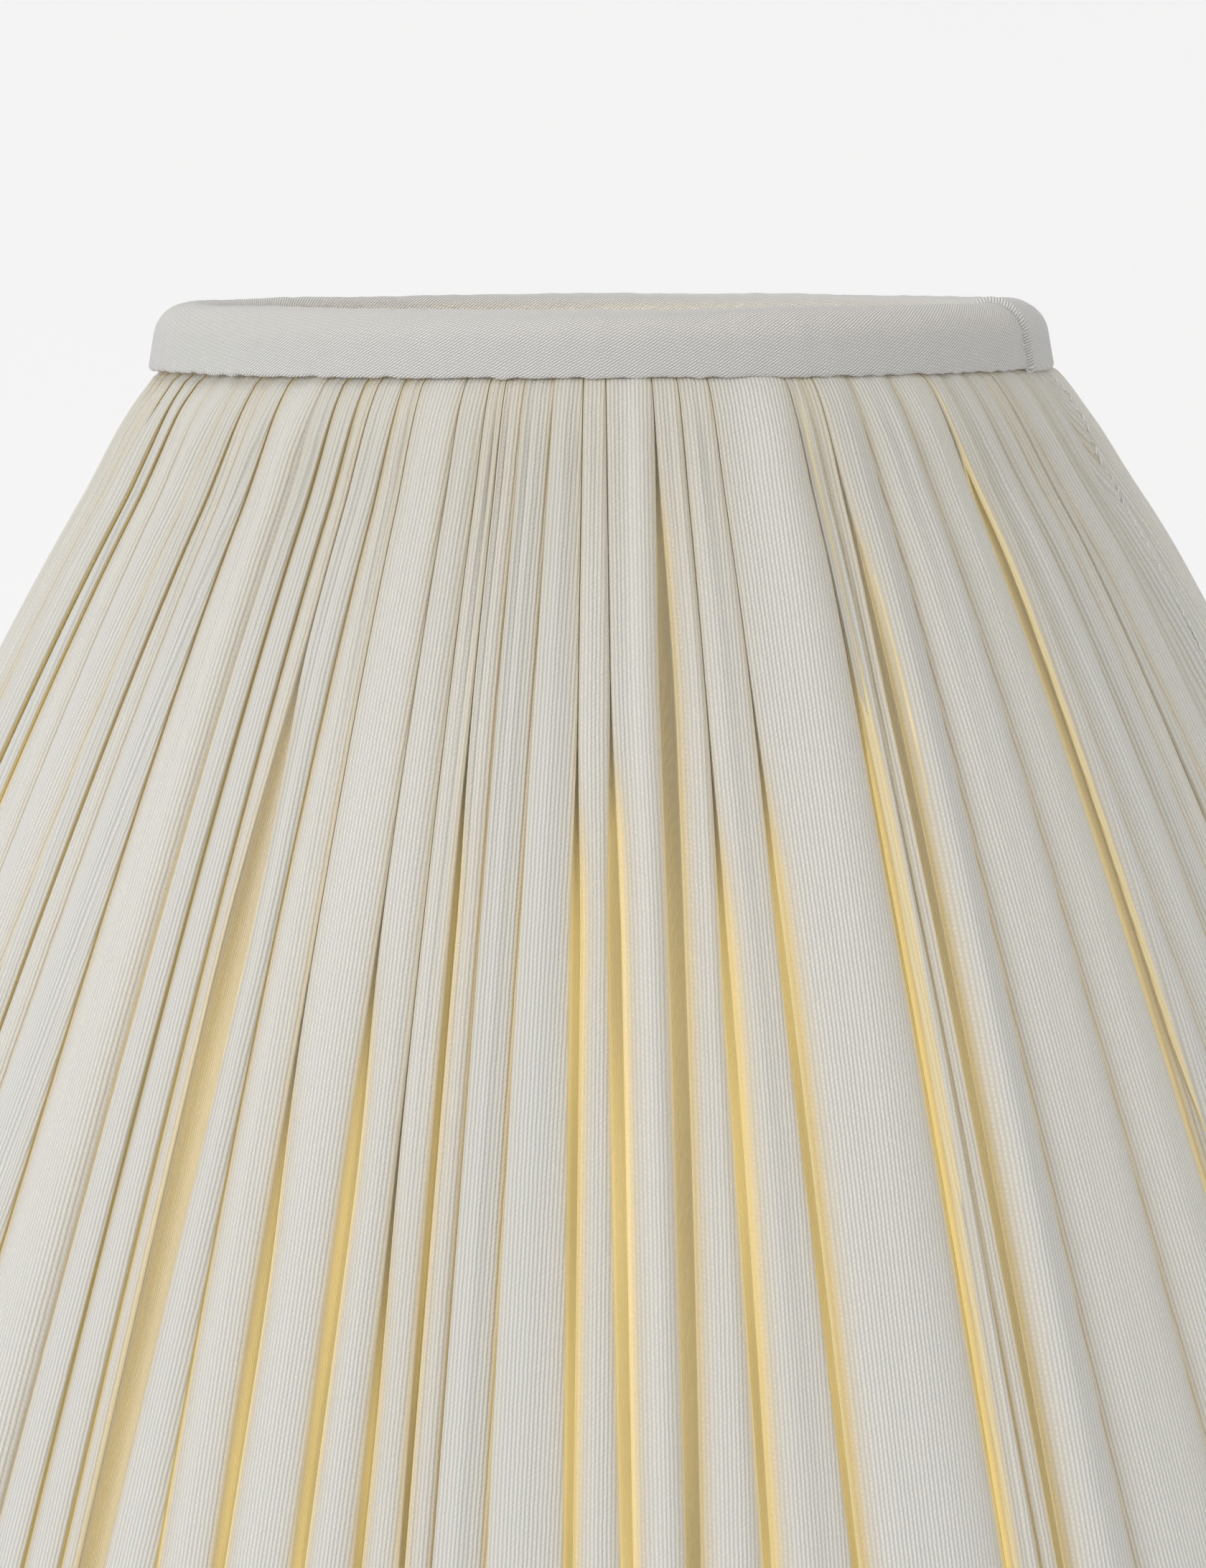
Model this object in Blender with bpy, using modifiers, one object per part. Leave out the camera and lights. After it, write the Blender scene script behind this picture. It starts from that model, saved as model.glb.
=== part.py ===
"""A gathered empire lamp shade on a wire frame, with a recessed three-arm fitter.

Metres, +Z up. The origin is the centre of the bottom rim, on the surface that the shade stands on.
Everything round is turned about Z with the same number of facets, so the layers nest face to face.
An outline is a list of (radius, height) points.
"""

import math

import bpy
from mathutils import Vector

MM = 0.001

# Overall sizes, over the bindings.
TOP_DIAMETER = 152.4 * MM
BOTTOM_DIAMETER = 406.4 * MM
SLANT_HEIGHT = 304.8 * MM

# Steel wire frame.
RING_WIRE = 3.2 * MM
STRUT_WIRE = 2.6 * MM
STRUT_COUNT = 8
STRUT_START = math.radians(-16.875)

# Cloth.
TAPE_THICKNESS = 0.8 * MM
WRAP_THICKNESS = 0.4 * MM
LINING_THICKNESS = 0.5 * MM
BAND_HEIGHT = 12.0 * MM
BAND_LEAN = math.radians(8.0)
INNER_BAND_HEIGHT = 5.0 * MM
GATHERS_AT_TOP = 1.5 * MM
GATHERS_AT_BOTTOM = 1.2 * MM
GATHERS_CROWN = 6.0 * MM
BOTTOM_FOLD_RADIUS = 1.7 * MM
FOOT_EASE = 1.1 * MM

# Fitter.
FITTER_DROP = 38.0 * MM
ARM_WIRE = 3.2 * MM
ARM_COUNT = 3
ARM_SHOULDER = 6.0 * MM
ARM_BEND_RADIUS = 5.0 * MM
HUB_DIAMETER = 32.0 * MM
HUB_THICKNESS = 2.0 * MM
HUB_HOLE_DIAMETER = 11.1 * MM
HUB_SEAT_WIDTH = 3.5 * MM

# The fold over the join in the top binding.
JOIN_ANGLE = STRUT_START
JOIN_WIDTH = 14.0 * MM
JOIN_THICKNESS = 0.6 * MM

# Clearance between pieces that touch, and facets.
GAP = 0.3 * MM
FACETS = 64
FACET_ANGLE = 2 * math.pi / FACETS
WIRE_SIDES = 10
HUB_FACETS = 48
CROWN_ROWS = 9

# Sizes that follow from the ones above.
TOP_RADIUS = TOP_DIAMETER / 2
BOTTOM_RADIUS = BOTTOM_DIAMETER / 2
SHADE_HEIGHT = math.sqrt(SLANT_HEIGHT**2 - (BOTTOM_RADIUS - TOP_RADIUS) ** 2)
SHADE_ANGLE = math.atan2(BOTTOM_RADIUS - TOP_RADIUS, SHADE_HEIGHT)
WRAPPED_RADIUS = RING_WIRE / 2 + GAP + WRAP_THICKNESS
RIM_RISE = WRAPPED_RADIUS + GAP + TAPE_THICKNESS
UNDER_TAPE = TAPE_THICKNESS + GAP


def polar(centre, radius, angle):
    """The point at this distance and angle from a centre."""
    return centre + radius * Vector((math.cos(angle), math.sin(angle)))


def arc(centre, radius, start, end, steps):
    """Points along an arc, both ends included, with angles in degrees."""
    angles = (start + (end - start) * i / steps for i in range(steps + 1))
    return [polar(centre, radius, math.radians(angle)) for angle in angles]


def down(angle):
    """The direction down a side that leans out by this angle."""
    return Vector((math.sin(angle), -math.cos(angle)))


def outward(angle):
    """The outward normal of a side that leans out by this angle."""
    return Vector((math.cos(angle), math.sin(angle)))


# Top rim. The corner is the smallest that clears the gathers where they pass over the ring.
TOP_STACK = WRAPPED_RADIUS + GAP + GATHERS_AT_TOP + UNDER_TAPE
TOP_CORNER = (TOP_STACK**2 + RIM_RISE**2) / (2 * RIM_RISE) + GAP
TOP_BAND_FOOT = Vector((TOP_RADIUS, SHADE_HEIGHT - BAND_HEIGHT))
TOP_LEG = (BAND_HEIGHT - TOP_CORNER * (1 - math.sin(BAND_LEAN))) / math.cos(BAND_LEAN)
TOP_CORNER_CENTRE = TOP_BAND_FOOT - TOP_LEG * down(BAND_LEAN) - TOP_CORNER * outward(BAND_LEAN)
TOP_RING = Vector((TOP_CORNER_CENTRE.x, SHADE_HEIGHT - RIM_RISE))

# Bottom rim.
BOTTOM_CORNER = BOTTOM_FOLD_RADIUS + GATHERS_AT_BOTTOM + UNDER_TAPE
BOTTOM_CORNER_CENTRE = Vector((BOTTOM_RADIUS - BOTTOM_CORNER, BOTTOM_CORNER))
BOTTOM_RING_INSET = WRAPPED_RADIUS + GAP - BOTTOM_FOLD_RADIUS + FOOT_EASE
BOTTOM_RING = Vector((BOTTOM_CORNER_CENTRE.x - BOTTOM_RING_INSET, RIM_RISE))

# The struts' centre line, from just under the gathers at the top band's lower edge to the bottom ring.
STRUT_TOP_PASS = (
    TOP_BAND_FOOT
    - (UNDER_TAPE + GATHERS_AT_TOP) * outward(BAND_LEAN)
    - Vector(((GAP + STRUT_WIRE / 2) / math.cos(SHADE_ANGLE), 0.0))
)
STRUT_LINE = (BOTTOM_RING - STRUT_TOP_PASS).normalized()
STRUT_ANGLE = math.atan2(STRUT_LINE.x, -STRUT_LINE.y)
STRUT_INWARD = -outward(STRUT_ANGLE)
STRUT_TOP = STRUT_TOP_PASS + ((TOP_RING - STRUT_TOP_PASS).dot(STRUT_LINE) + RING_WIRE / 2 + GAP) * STRUT_LINE
STRUT_FOOT = BOTTOM_RING - (RING_WIRE / 2 + GAP) * STRUT_LINE
LINING_OFFSET = STRUT_WIRE / 2 + GAP

# Fitter. Its first arm is half way between two struts, which keeps the others clear of struts too.
ARM_START = STRUT_START + 2.5 * 2 * math.pi / STRUT_COUNT
ARM_SLOPE = math.radians(225.0)
HUB_TOP = SHADE_HEIGHT - FITTER_DROP
ARM_HEIGHT = HUB_TOP - HUB_THICKNESS - GAP - ARM_WIRE / 2


def make_collection(name):
    """A new collection in the scene."""
    collection = bpy.data.collections.new(name)
    bpy.context.scene.collection.children.link(collection)
    return collection


def make_material(name, colour, roughness, metallic=0.0):
    """A plain Principled material."""
    material = bpy.data.materials.new(name)
    material.use_nodes = True
    shader = material.node_tree.nodes["Principled BSDF"]
    shader.inputs["Base Color"].default_value = (*colour, 1.0)
    shader.inputs["Roughness"].default_value = roughness
    shader.inputs["Metallic"].default_value = metallic
    material.diffuse_color = (*colour, 1.0)
    return material


def place(obj, collection, material):
    """Puts an object in the shade's collection only, with its material."""
    for other in list(obj.users_collection):
        other.objects.unlink(obj)
    collection.objects.link(obj)
    obj.data.materials.clear()
    obj.data.materials.append(material)
    return obj


def clockwise(outline):
    """The same outline, running down its outer side."""
    following = outline[1:] + outline[:1]
    area = sum(a.x * b.y - b.x * a.y for a, b in zip(outline, following))
    return outline if area < 0 else outline[::-1]


def turned(name, outline, collection, material, facets=FACETS):
    """A solid turned about Z from a closed outline of (radius, height) points."""
    points = [(p.x, 0.0, p.y) for p in clockwise(outline)]
    edges = [(i, (i + 1) % len(points)) for i in range(len(points))]
    mesh = bpy.data.meshes.new(name)
    mesh.from_pydata(points, edges, [])
    obj = bpy.data.objects.new(name, mesh)
    screw = obj.modifiers.new("turn", "SCREW")
    screw.axis = "Z"
    screw.angle = 2 * math.pi
    screw.steps = facets
    screw.render_steps = facets
    screw.use_merge_vertices = True
    screw.merge_threshold = 0.0001
    screw.use_smooth_shade = True
    return place(obj, collection, material)


def ring(name, centre, collection, material):
    """A ring of round wire about Z, with its wire centred on (radius, height)."""
    bpy.ops.mesh.primitive_torus_add(
        major_radius=centre.x,
        minor_radius=RING_WIRE / 2,
        major_segments=FACETS,
        minor_segments=WIRE_SIDES,
        location=(0.0, 0.0, centre.y),
    )
    obj = bpy.context.object
    obj.name = name
    obj.data.shade_smooth()
    return place(obj, collection, material)


def in_plane(point, angle):
    """A (radius, height) point turned to this angle about Z."""
    return Vector((point.x * math.cos(angle), point.x * math.sin(angle), point.y))


def rod(name, start, end, diameter, collection, material):
    """A straight round wire between two points."""
    along = end - start
    bpy.ops.mesh.primitive_cylinder_add(
        vertices=WIRE_SIDES,
        radius=diameter / 2,
        depth=along.length,
        location=(start + end) / 2,
        rotation=along.to_track_quat("Z", "Y").to_euler(),
    )
    obj = bpy.context.object
    obj.name = name
    return place(obj, collection, material)


def bent_wire(name, points, diameter, collection, material):
    """A bent round wire along a list of points."""
    curve = bpy.data.curves.new(name, "CURVE")
    curve.dimensions = "3D"
    curve.bevel_depth = diameter / 2
    curve.bevel_resolution = 2
    curve.use_fill_caps = True
    spline = curve.splines.new("POLY")
    spline.points.add(len(points) - 1)
    for target, point in zip(spline.points, points):
        target.co = (*point, 1.0)
    return place(bpy.data.objects.new(name, curve), collection, material)


def rounded(corners, radius, steps=4):
    """A path through corners, with each inner corner rounded to this radius."""
    path = [corners[0]]
    for before, corner, after in zip(corners, corners[1:], corners[2:]):
        towards_before = (before - corner).normalized()
        towards_after = (after - corner).normalized()
        half = towards_before.angle(towards_after) / 2
        centre = corner + (towards_before + towards_after).normalized() * radius / math.sin(half)
        first = corner + towards_before * radius / math.tan(half) - centre
        last = corner + towards_after * radius / math.tan(half) - centre
        sweep = first.angle(last)
        for i in range(steps + 1):
            share = i / steps
            weights = (math.sin((1 - share) * sweep), math.sin(share * sweep))
            path.append(centre + (first * weights[0] + last * weights[1]) / math.sin(sweep))
    return path + [corners[-1]]


def make_frame(collection, material):
    """The two rings and the sloping struts between them."""
    ring("top_ring", TOP_RING, collection, material)
    ring("bottom_ring", BOTTOM_RING, collection, material)
    for i in range(STRUT_COUNT):
        angle = STRUT_START + 2 * math.pi * i / STRUT_COUNT
        start = in_plane(STRUT_TOP, angle)
        end = in_plane(STRUT_FOOT, angle)
        rod(f"strut_{i + 1}", start, end, STRUT_WIRE, collection, material)


def wrap_outline(centre, start, end, steps):
    """Tape wound on a ring, open on the side where the wires leave it."""
    outside = arc(centre, WRAPPED_RADIUS, start, end, steps)
    inside = arc(centre, WRAPPED_RADIUS - WRAP_THICKNESS, end, start, steps)
    return outside + inside


def wire_slot(diameter):
    """Half the angle that a wire leaving a ring needs between the edges of the ring's tape, in degrees."""
    return math.degrees(math.asin(min(1.0, (diameter / 2 + GAP) / WRAPPED_RADIUS)))


def make_ring_tapes(collection, material):
    """Cotton tape wound on each ring, which the cloth is sewn to."""
    lean = math.degrees(STRUT_ANGLE)
    under = lean - 90.0 + wire_slot(STRUT_WIRE)
    inside = math.degrees(ARM_SLOPE) - wire_slot(ARM_WIRE)
    turned("top_ring_tape", wrap_outline(TOP_RING, under, inside, 4), collection, material)
    slot = wire_slot(STRUT_WIRE)
    start, end = lean - 270.0 + slot, lean + 90.0 - slot
    turned("bottom_ring_tape", wrap_outline(BOTTOM_RING, start, end, 5), collection, material)


def top_band_side(offset):
    """The top binding's path, this far in from its face, from the outer edge over the rim."""
    lean = math.degrees(BAND_LEAN)
    outer = arc(TOP_CORNER_CENTRE, TOP_CORNER - offset, lean, 90.0, 4)
    inner = arc(TOP_RING, RIM_RISE - offset, 90.0, 180.0, 3)
    return [TOP_BAND_FOOT - offset * outward(BAND_LEAN)] + outer + inner[1:]


def bottom_band_side(offset):
    """The bottom binding's path, this far in from its face, from the outer edge to the inner one."""
    lean = math.degrees(STRUT_ANGLE)
    outer = arc(BOTTOM_CORNER_CENTRE, BOTTOM_CORNER - offset, lean, -90.0, 4)
    inner = arc(BOTTOM_RING, RIM_RISE - offset, -90.0, lean - 180.0, 2)
    leg = (BAND_HEIGHT - outer[0].y) / math.cos(STRUT_ANGLE)
    inner_leg = (INNER_BAND_HEIGHT - inner[-1].y) / math.cos(STRUT_ANGLE)
    upper = outer[0] - leg * down(STRUT_ANGLE)
    return [upper] + outer + inner + [inner[-1] - inner_leg * down(STRUT_ANGLE)]


def make_bindings(collection, material):
    """The folded tapes over the two rims."""
    for name, side in (("top_binding", top_band_side), ("bottom_binding", bottom_band_side)):
        outline = side(0.0) + side(TAPE_THICKNESS)[::-1]
        turned(name, outline, collection, material)


def make_join(collection, material):
    """The folded end of the top binding's tape, laid over its start in line with a strut."""
    facets = max(1, round(JOIN_WIDTH / (TOP_RADIUS * FACET_ANGLE)))
    upper = TOP_BAND_FOOT - TOP_LEG * down(BAND_LEAN)
    points = [point + GAP * outward(BAND_LEAN) for point in (upper, TOP_BAND_FOOT)]
    mesh = bpy.data.meshes.new("top_binding_join")
    mesh.from_pydata([(p.x, 0.0, p.y) for p in points], [(0, 1)], [])
    obj = bpy.data.objects.new("top_binding_join", mesh)
    obj.rotation_euler.z = JOIN_ANGLE - facets / 2 * FACET_ANGLE
    screw = obj.modifiers.new("turn", "SCREW")
    screw.axis = "Z"
    screw.angle = facets * FACET_ANGLE
    screw.steps = facets
    screw.render_steps = facets
    wall = obj.modifiers.new("wall", "SOLIDIFY")
    wall.thickness = JOIN_THICKNESS
    wall.offset = 1.0
    return place(obj, collection, material)


def crown(share):
    """How far the gathers stand out from the straight side, from the top band (0) to the bottom one (1)."""
    return GATHERS_CROWN * math.sin(math.pi * share**0.55)


def cover_top_edge(offset):
    """The cover's edge under the top binding, this far in from the binding's face."""
    lean = math.degrees(BAND_LEAN)
    turn = arc(TOP_CORNER_CENTRE, TOP_CORNER - offset, 30.0, lean, 1)
    return turn + [TOP_BAND_FOOT - offset * outward(BAND_LEAN)]


def cover_bottom_edge(offset):
    """The cover's edge inside the bottom binding, this far in from the binding's face."""
    lean = math.degrees(STRUT_ANGLE)
    turn = arc(BOTTOM_CORNER_CENTRE, BOTTOM_CORNER - offset, lean, -20.0, 2)
    return [bottom_band_side(offset)[0]] + turn


def make_cover(collection, material):
    """The gathered cloth as one crowned shell, tucked into both bindings."""
    top = cover_top_edge(UNDER_TAPE)
    bottom = cover_bottom_edge(UNDER_TAPE)
    side = [
        top[-1].lerp(bottom[0], i / CROWN_ROWS) + crown(i / CROWN_ROWS) * outward(STRUT_ANGLE)
        for i in range(1, CROWN_ROWS)
    ]
    inner_top = cover_top_edge(UNDER_TAPE + GATHERS_AT_TOP)
    inner_bottom = cover_bottom_edge(UNDER_TAPE + GATHERS_AT_BOTTOM)
    outline = top + side + bottom + inner_bottom[::-1] + inner_top[::-1]
    turned("gathered_cover", outline, collection, material)


def make_lining(collection, material):
    """The smooth lining inside the struts, held between the rings."""
    clear_of_top_ring = WRAPPED_RADIUS + ARM_WIRE / 2
    clear_of_bottom_ring = WRAPPED_RADIUS + GAP
    ends = (STRUT_TOP + clear_of_top_ring * STRUT_LINE, BOTTOM_RING - clear_of_bottom_ring * STRUT_LINE)
    outside = [end + LINING_OFFSET * STRUT_INWARD for end in ends]
    inside = [end + (LINING_OFFSET + LINING_THICKNESS) * STRUT_INWARD for end in ends]
    turned("lining", outside + inside[::-1], collection, material)


def make_fitter(collection, material):
    """The recessed spider: a washer for the harp's stud and the bent arms that carry it."""
    hole = HUB_HOLE_DIAMETER / 2
    rim = HUB_DIAMETER / 2
    low = HUB_TOP - HUB_THICKNESS
    outline = [Vector(p) for p in ((hole, HUB_TOP), (rim, HUB_TOP), (rim, low), (hole, low))]
    turned("fitter_hub", outline, collection, material, HUB_FACETS)
    start = polar(TOP_RING, RING_WIRE / 2 + GAP, ARM_SLOPE)
    shoulder = polar(start, ARM_SHOULDER, ARM_SLOPE)
    corners = [
        start,
        shoulder,
        Vector((shoulder.x, ARM_HEIGHT)),
        Vector((hole + HUB_SEAT_WIDTH, ARM_HEIGHT)),
    ]
    path = rounded(corners, ARM_BEND_RADIUS)
    for i in range(ARM_COUNT):
        angle = ARM_START + 2 * math.pi * i / ARM_COUNT
        points = [in_plane(point, angle) for point in path]
        bent_wire(f"fitter_arm_{i + 1}", points, ARM_WIRE, collection, material)


def main():
    """Builds the shade."""
    for obj in list(bpy.data.objects):
        bpy.data.objects.remove(obj)
    shade = make_collection("lamp_shade")
    steel = make_material("painted_wire", (0.72, 0.70, 0.65), 0.45, 0.0)
    brass = make_material("fitter_metal", (0.62, 0.60, 0.56), 0.32, 1.0)
    cotton = make_material("cotton_tape", (0.70, 0.68, 0.62), 0.95)
    cloth = make_material("gathered_cloth", (0.74, 0.72, 0.66), 0.9)
    twill = make_material("twill_binding", (0.62, 0.61, 0.57), 0.9)
    silk = make_material("lining_cloth", (0.80, 0.77, 0.70), 0.85)
    make_frame(shade, steel)
    make_fitter(shade, brass)
    make_ring_tapes(shade, cotton)
    make_cover(shade, cloth)
    make_lining(shade, silk)
    make_bindings(shade, twill)
    make_join(shade, twill)


main()
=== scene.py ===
"""A hand-gathered cloth lamp shade: wire frame, taped rings, lining, gathered cover and bias bindings.

Lengths inside the classes are in millimetres and are turned into metres where a mesh is made. An angle
round the shade is measured from the front, positive towards the right as the front is looked at.
"""
from __future__ import annotations

import logging
import math
from dataclasses import dataclass, field
from enum import Enum

import bpy
import numpy as np
from mathutils import Matrix, Vector


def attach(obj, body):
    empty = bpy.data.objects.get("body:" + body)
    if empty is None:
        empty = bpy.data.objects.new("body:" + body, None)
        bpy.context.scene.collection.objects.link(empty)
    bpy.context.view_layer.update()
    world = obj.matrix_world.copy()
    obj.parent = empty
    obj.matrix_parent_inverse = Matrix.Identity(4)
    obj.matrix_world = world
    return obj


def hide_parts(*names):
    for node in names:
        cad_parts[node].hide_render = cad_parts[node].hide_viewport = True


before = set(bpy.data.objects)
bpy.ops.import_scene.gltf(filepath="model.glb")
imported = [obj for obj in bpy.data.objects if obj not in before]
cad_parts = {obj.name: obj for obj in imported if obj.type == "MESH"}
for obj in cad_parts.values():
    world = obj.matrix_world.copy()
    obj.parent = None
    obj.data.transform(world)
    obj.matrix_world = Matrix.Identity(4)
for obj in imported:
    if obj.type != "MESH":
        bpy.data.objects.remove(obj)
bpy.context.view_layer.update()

Colour = tuple[float, float, float]
Material = bpy.types.Material
Node = bpy.types.Node
Socket = bpy.types.NodeSocket
Object = bpy.types.Object

LOG = logging.getLogger("shade")
MM = 0.001
BODY = "root"
TURN = 2.0 * math.pi
STRUT_COUNT = 8
STRUT_START = math.radians(73.125)  # the strut that the top binding is joined over
SIDE_ANGLE = math.radians(25.62)    # how far the side leans out from upright
RIM_RADIUS = 76.0                   # the outer face of the top binding
LINE_STEP = 0.7                     # the longest step between points of a binding's section


# ---------------------------------------------------------------------------------------------- meshes


def add_object(name: str, data: bpy.types.ID) -> Object:
    """Return a new object of this data, linked into the scene."""
    made = bpy.data.objects.new(name, data)
    bpy.context.scene.collection.objects.link(made)
    return made


def strip_mesh(name: str, points: np.ndarray, uv: np.ndarray, masks: dict[str, np.ndarray] | None = None,
               closed: bool = False) -> Object:
    """Make a sheet from a grid of points, outward face out.

    Args:
        name: the piece's name.
        points: rows down the shade by columns round it, in millimetres.
        uv: the same grid in metres of cloth, with one more column if the sheet is closed.
        masks: numbers at each point that a material reads, by attribute name.
        closed: whether the last column joins the first.

    Returns:
        The new object, linked into the scene.
    """
    rows, cols = points.shape[:2]
    across = cols if closed else cols - 1
    row, col = np.meshgrid(np.arange(rows - 1), np.arange(across), indexing="ij")
    nxt = (col + 1) % cols
    corners = np.stack([row * cols + col, (row + 1) * cols + col, (row + 1) * cols + nxt, row * cols + nxt], -1)
    mesh = bpy.data.meshes.new(name)
    mesh.vertices.add(rows * cols)
    mesh.vertices.foreach_set("co", (points * MM).astype(np.float32).ravel())
    count = corners.shape[0] * corners.shape[1]
    mesh.loops.add(count * 4)
    mesh.loops.foreach_set("vertex_index", corners.ravel().astype(np.int32))
    mesh.polygons.add(count)
    mesh.polygons.foreach_set("loop_start", np.arange(count, dtype=np.int32) * 4)
    mesh.polygons.foreach_set("use_smooth", np.ones(count, dtype=bool))
    layer = mesh.uv_layers.new(name="UVMap")
    wide = np.stack([uv[row, col], uv[row + 1, col], uv[row + 1, col + 1], uv[row, col + 1]], -2)
    layer.data.foreach_set("uv", wide.astype(np.float32).ravel())
    for key, values in (masks or {}).items():
        mesh.attributes.new(key, "FLOAT", "POINT").data.foreach_set("value", values.astype(np.float32).ravel())
    mesh.update(calc_edges=True)
    mesh.validate()
    return add_object(name, mesh)


def round_the_shade(radius: np.ndarray, height: np.ndarray, angle: np.ndarray) -> np.ndarray:
    """Return points at these radii and heights and at these angles from the front."""
    return np.stack(np.broadcast_arrays(radius * np.sin(angle), -radius * np.cos(angle), height), -1)


def lengths_along(line: np.ndarray) -> np.ndarray:
    """Return how far along a line of points each point is."""
    return np.concatenate([[0.0], np.cumsum(np.linalg.norm(np.diff(line, axis=0), axis=1))])


def normals(line: np.ndarray) -> np.ndarray:
    """Return the outward direction at each point of a section's line."""
    tangent = np.gradient(line, axis=0)
    tangent /= np.linalg.norm(tangent, axis=1)[:, None]
    return np.stack([-tangent[:, 1], tangent[:, 0]], 1)


def off_the_side(radius: np.ndarray, height: np.ndarray, out: np.ndarray | float, angle: np.ndarray) -> np.ndarray:
    """Return points this far out from the sloping side, in millimetres."""
    return round_the_shade(radius + out * math.cos(SIDE_ANGLE), height + out * math.sin(SIDE_ANGLE), angle)


def arc(centre: tuple[float, float], radius: float, start: float, stop: float,
        steps: int) -> list[tuple[float, float]]:
    """Return points on an arc in the radius and height plane, angles in degrees."""
    turns = np.radians(np.linspace(start, stop, steps))
    return [(centre[0] + radius * math.cos(a), centre[1] + radius * math.sin(a)) for a in turns]


def finer(line: list[tuple[float, float]], step: float) -> np.ndarray:
    """Return the line with extra points, so that none are further apart than the step."""
    out = [np.array(line[0], float)]
    for a, b in zip(line[:-1], line[1:]):
        a, b = np.array(a, float), np.array(b, float)
        parts = max(1, math.ceil(float(np.linalg.norm(b - a)) / step))
        out += [a + (b - a) * (k + 1) / parts for k in range(parts)]
    return np.array(out)


def smoothstep(low: float, high: float, value: np.ndarray) -> np.ndarray:
    """Return a smooth rise from 0 at low to 1 at high."""
    t = np.clip((value - low) / (high - low), 0.0, 1.0)
    return t * t * (3.0 - 2.0 * t)


def seam_angle(place: np.ndarray) -> np.ndarray:
    """Return where round the shade the cover's closing edge lies, at each place down its side, 0 to 1."""
    return np.radians(np.interp(place, (0.0, 0.10, 0.20, 1.0), (74.5, 69.0, 68.5, 69.5)))


def waves(angle: np.ndarray, counts: list[int], seed: int) -> np.ndarray:
    """Return a sum of waves round the shade with seeded phases, about -1 to 1."""
    rng = np.random.default_rng(seed)
    total = sum(np.sin(n * angle + rng.uniform(0.0, TURN)) for n in counts)
    return total / math.sqrt(len(counts))


# ------------------------------------------------------------------------------------------- finishes


@dataclass(frozen=True)
class NodeSet:
    """A node tree and short ways to add to it."""

    tree: bpy.types.NodeTree

    def add(self, kind: str, **settings: object) -> Node:
        """Add a node of a kind and set its properties."""
        node = self.tree.nodes.new(kind)
        for key, value in settings.items():
            setattr(node, key, value)
        return node

    def join(self, source: Socket, target: Socket) -> None:
        """Link one socket to another."""
        self.tree.links.new(source, target)

    def sum(self, kind: str, *terms: Socket | float) -> Socket:
        """Add a Math node and return its result.

        Args:
            kind: the Math operation.
            terms: sockets to link or plain numbers, in order.
        """
        node = self.add("ShaderNodeMath", operation=kind)
        for place, term in enumerate(terms):
            if isinstance(term, (int, float)):
                node.inputs[place].default_value = term
            else:
                self.join(term, node.inputs[place])
        return node.outputs[0]

    def blend(self, factor: Socket | float, a: Socket | tuple,
              b: Socket | tuple, how: str = "MIX") -> Socket:
        """Mix two colours and return the result."""
        node = self.add("ShaderNodeMix", data_type="RGBA", blend_type=how)
        for place, term in ((0, factor), (6, a), (7, b)):
            if isinstance(term, (int, float)):
                node.inputs[place].default_value = term
            elif isinstance(term, tuple):
                node.inputs[place].default_value = (*term, 1.0)
            else:
                self.join(term, node.inputs[place])
        return node.outputs[2]

    def spread(self, value: Socket, low: float, high: float, to_low: float = 0.0,
               to_high: float = 1.0) -> Socket:
        """Map a range of values to another, clamped, and return the result."""
        node = self.add("ShaderNodeMapRange", clamp=True)
        self.join(value, node.inputs[0])
        for place, number in enumerate((low, high, to_low, to_high), start=1):
            node.inputs[place].default_value = number
        return node.outputs[0]

    def fill(self, node: Node, **values: object) -> Socket:
        """Link or set a node's inputs by name, with an underscore for each space, and return its first output."""
        for key, value in values.items():
            socket = node.inputs[key.replace("_", " ")]
            if isinstance(value, Socket):
                self.join(value, socket)
            else:
                socket.default_value = (*value, 1.0) if isinstance(value, tuple) else value
        return node.outputs[0] if node.outputs else None

    def noise(self, vector: Socket, dimensions: str = "3D",
              **values: Socket | float) -> Socket:
        """Add soft noise and return its value."""
        return self.fill(self.add("ShaderNodeTexNoise", noise_dimensions=dimensions), Vector=vector, **values)

    def parts(self, vector: Socket) -> bpy.types.NodeOutputs:
        """Split a vector into its three numbers."""
        node = self.add("ShaderNodeSeparateXYZ")
        self.fill(node, Vector=vector)
        return node.outputs

    def hump(self, value: Socket) -> Socket:
        """Return a rounded hump, 0 to 1 and back, over each whole number of a value."""
        return self.sum("SINE", self.sum("MULTIPLY", self.sum("FRACT", value), math.pi))

    def touch(self, base: Socket | tuple, mask: Socket, share: float,
              colour: Colour) -> Socket:
        """Lay a share of a colour over the base where a mask is."""
        return self.blend(self.sum("MULTIPLY", mask, share), base, colour)

    def cloth_places(self) -> tuple[Socket, Socket]:
        """Return the place on the cloth and the place in the object."""
        return self.add("ShaderNodeUVMap", uv_map="UVMap").outputs[0], self.object_place()

    def object_place(self) -> Socket:
        """Return the place in the object."""
        return self.add("ShaderNodeTexCoord").outputs["Object"]


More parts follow.
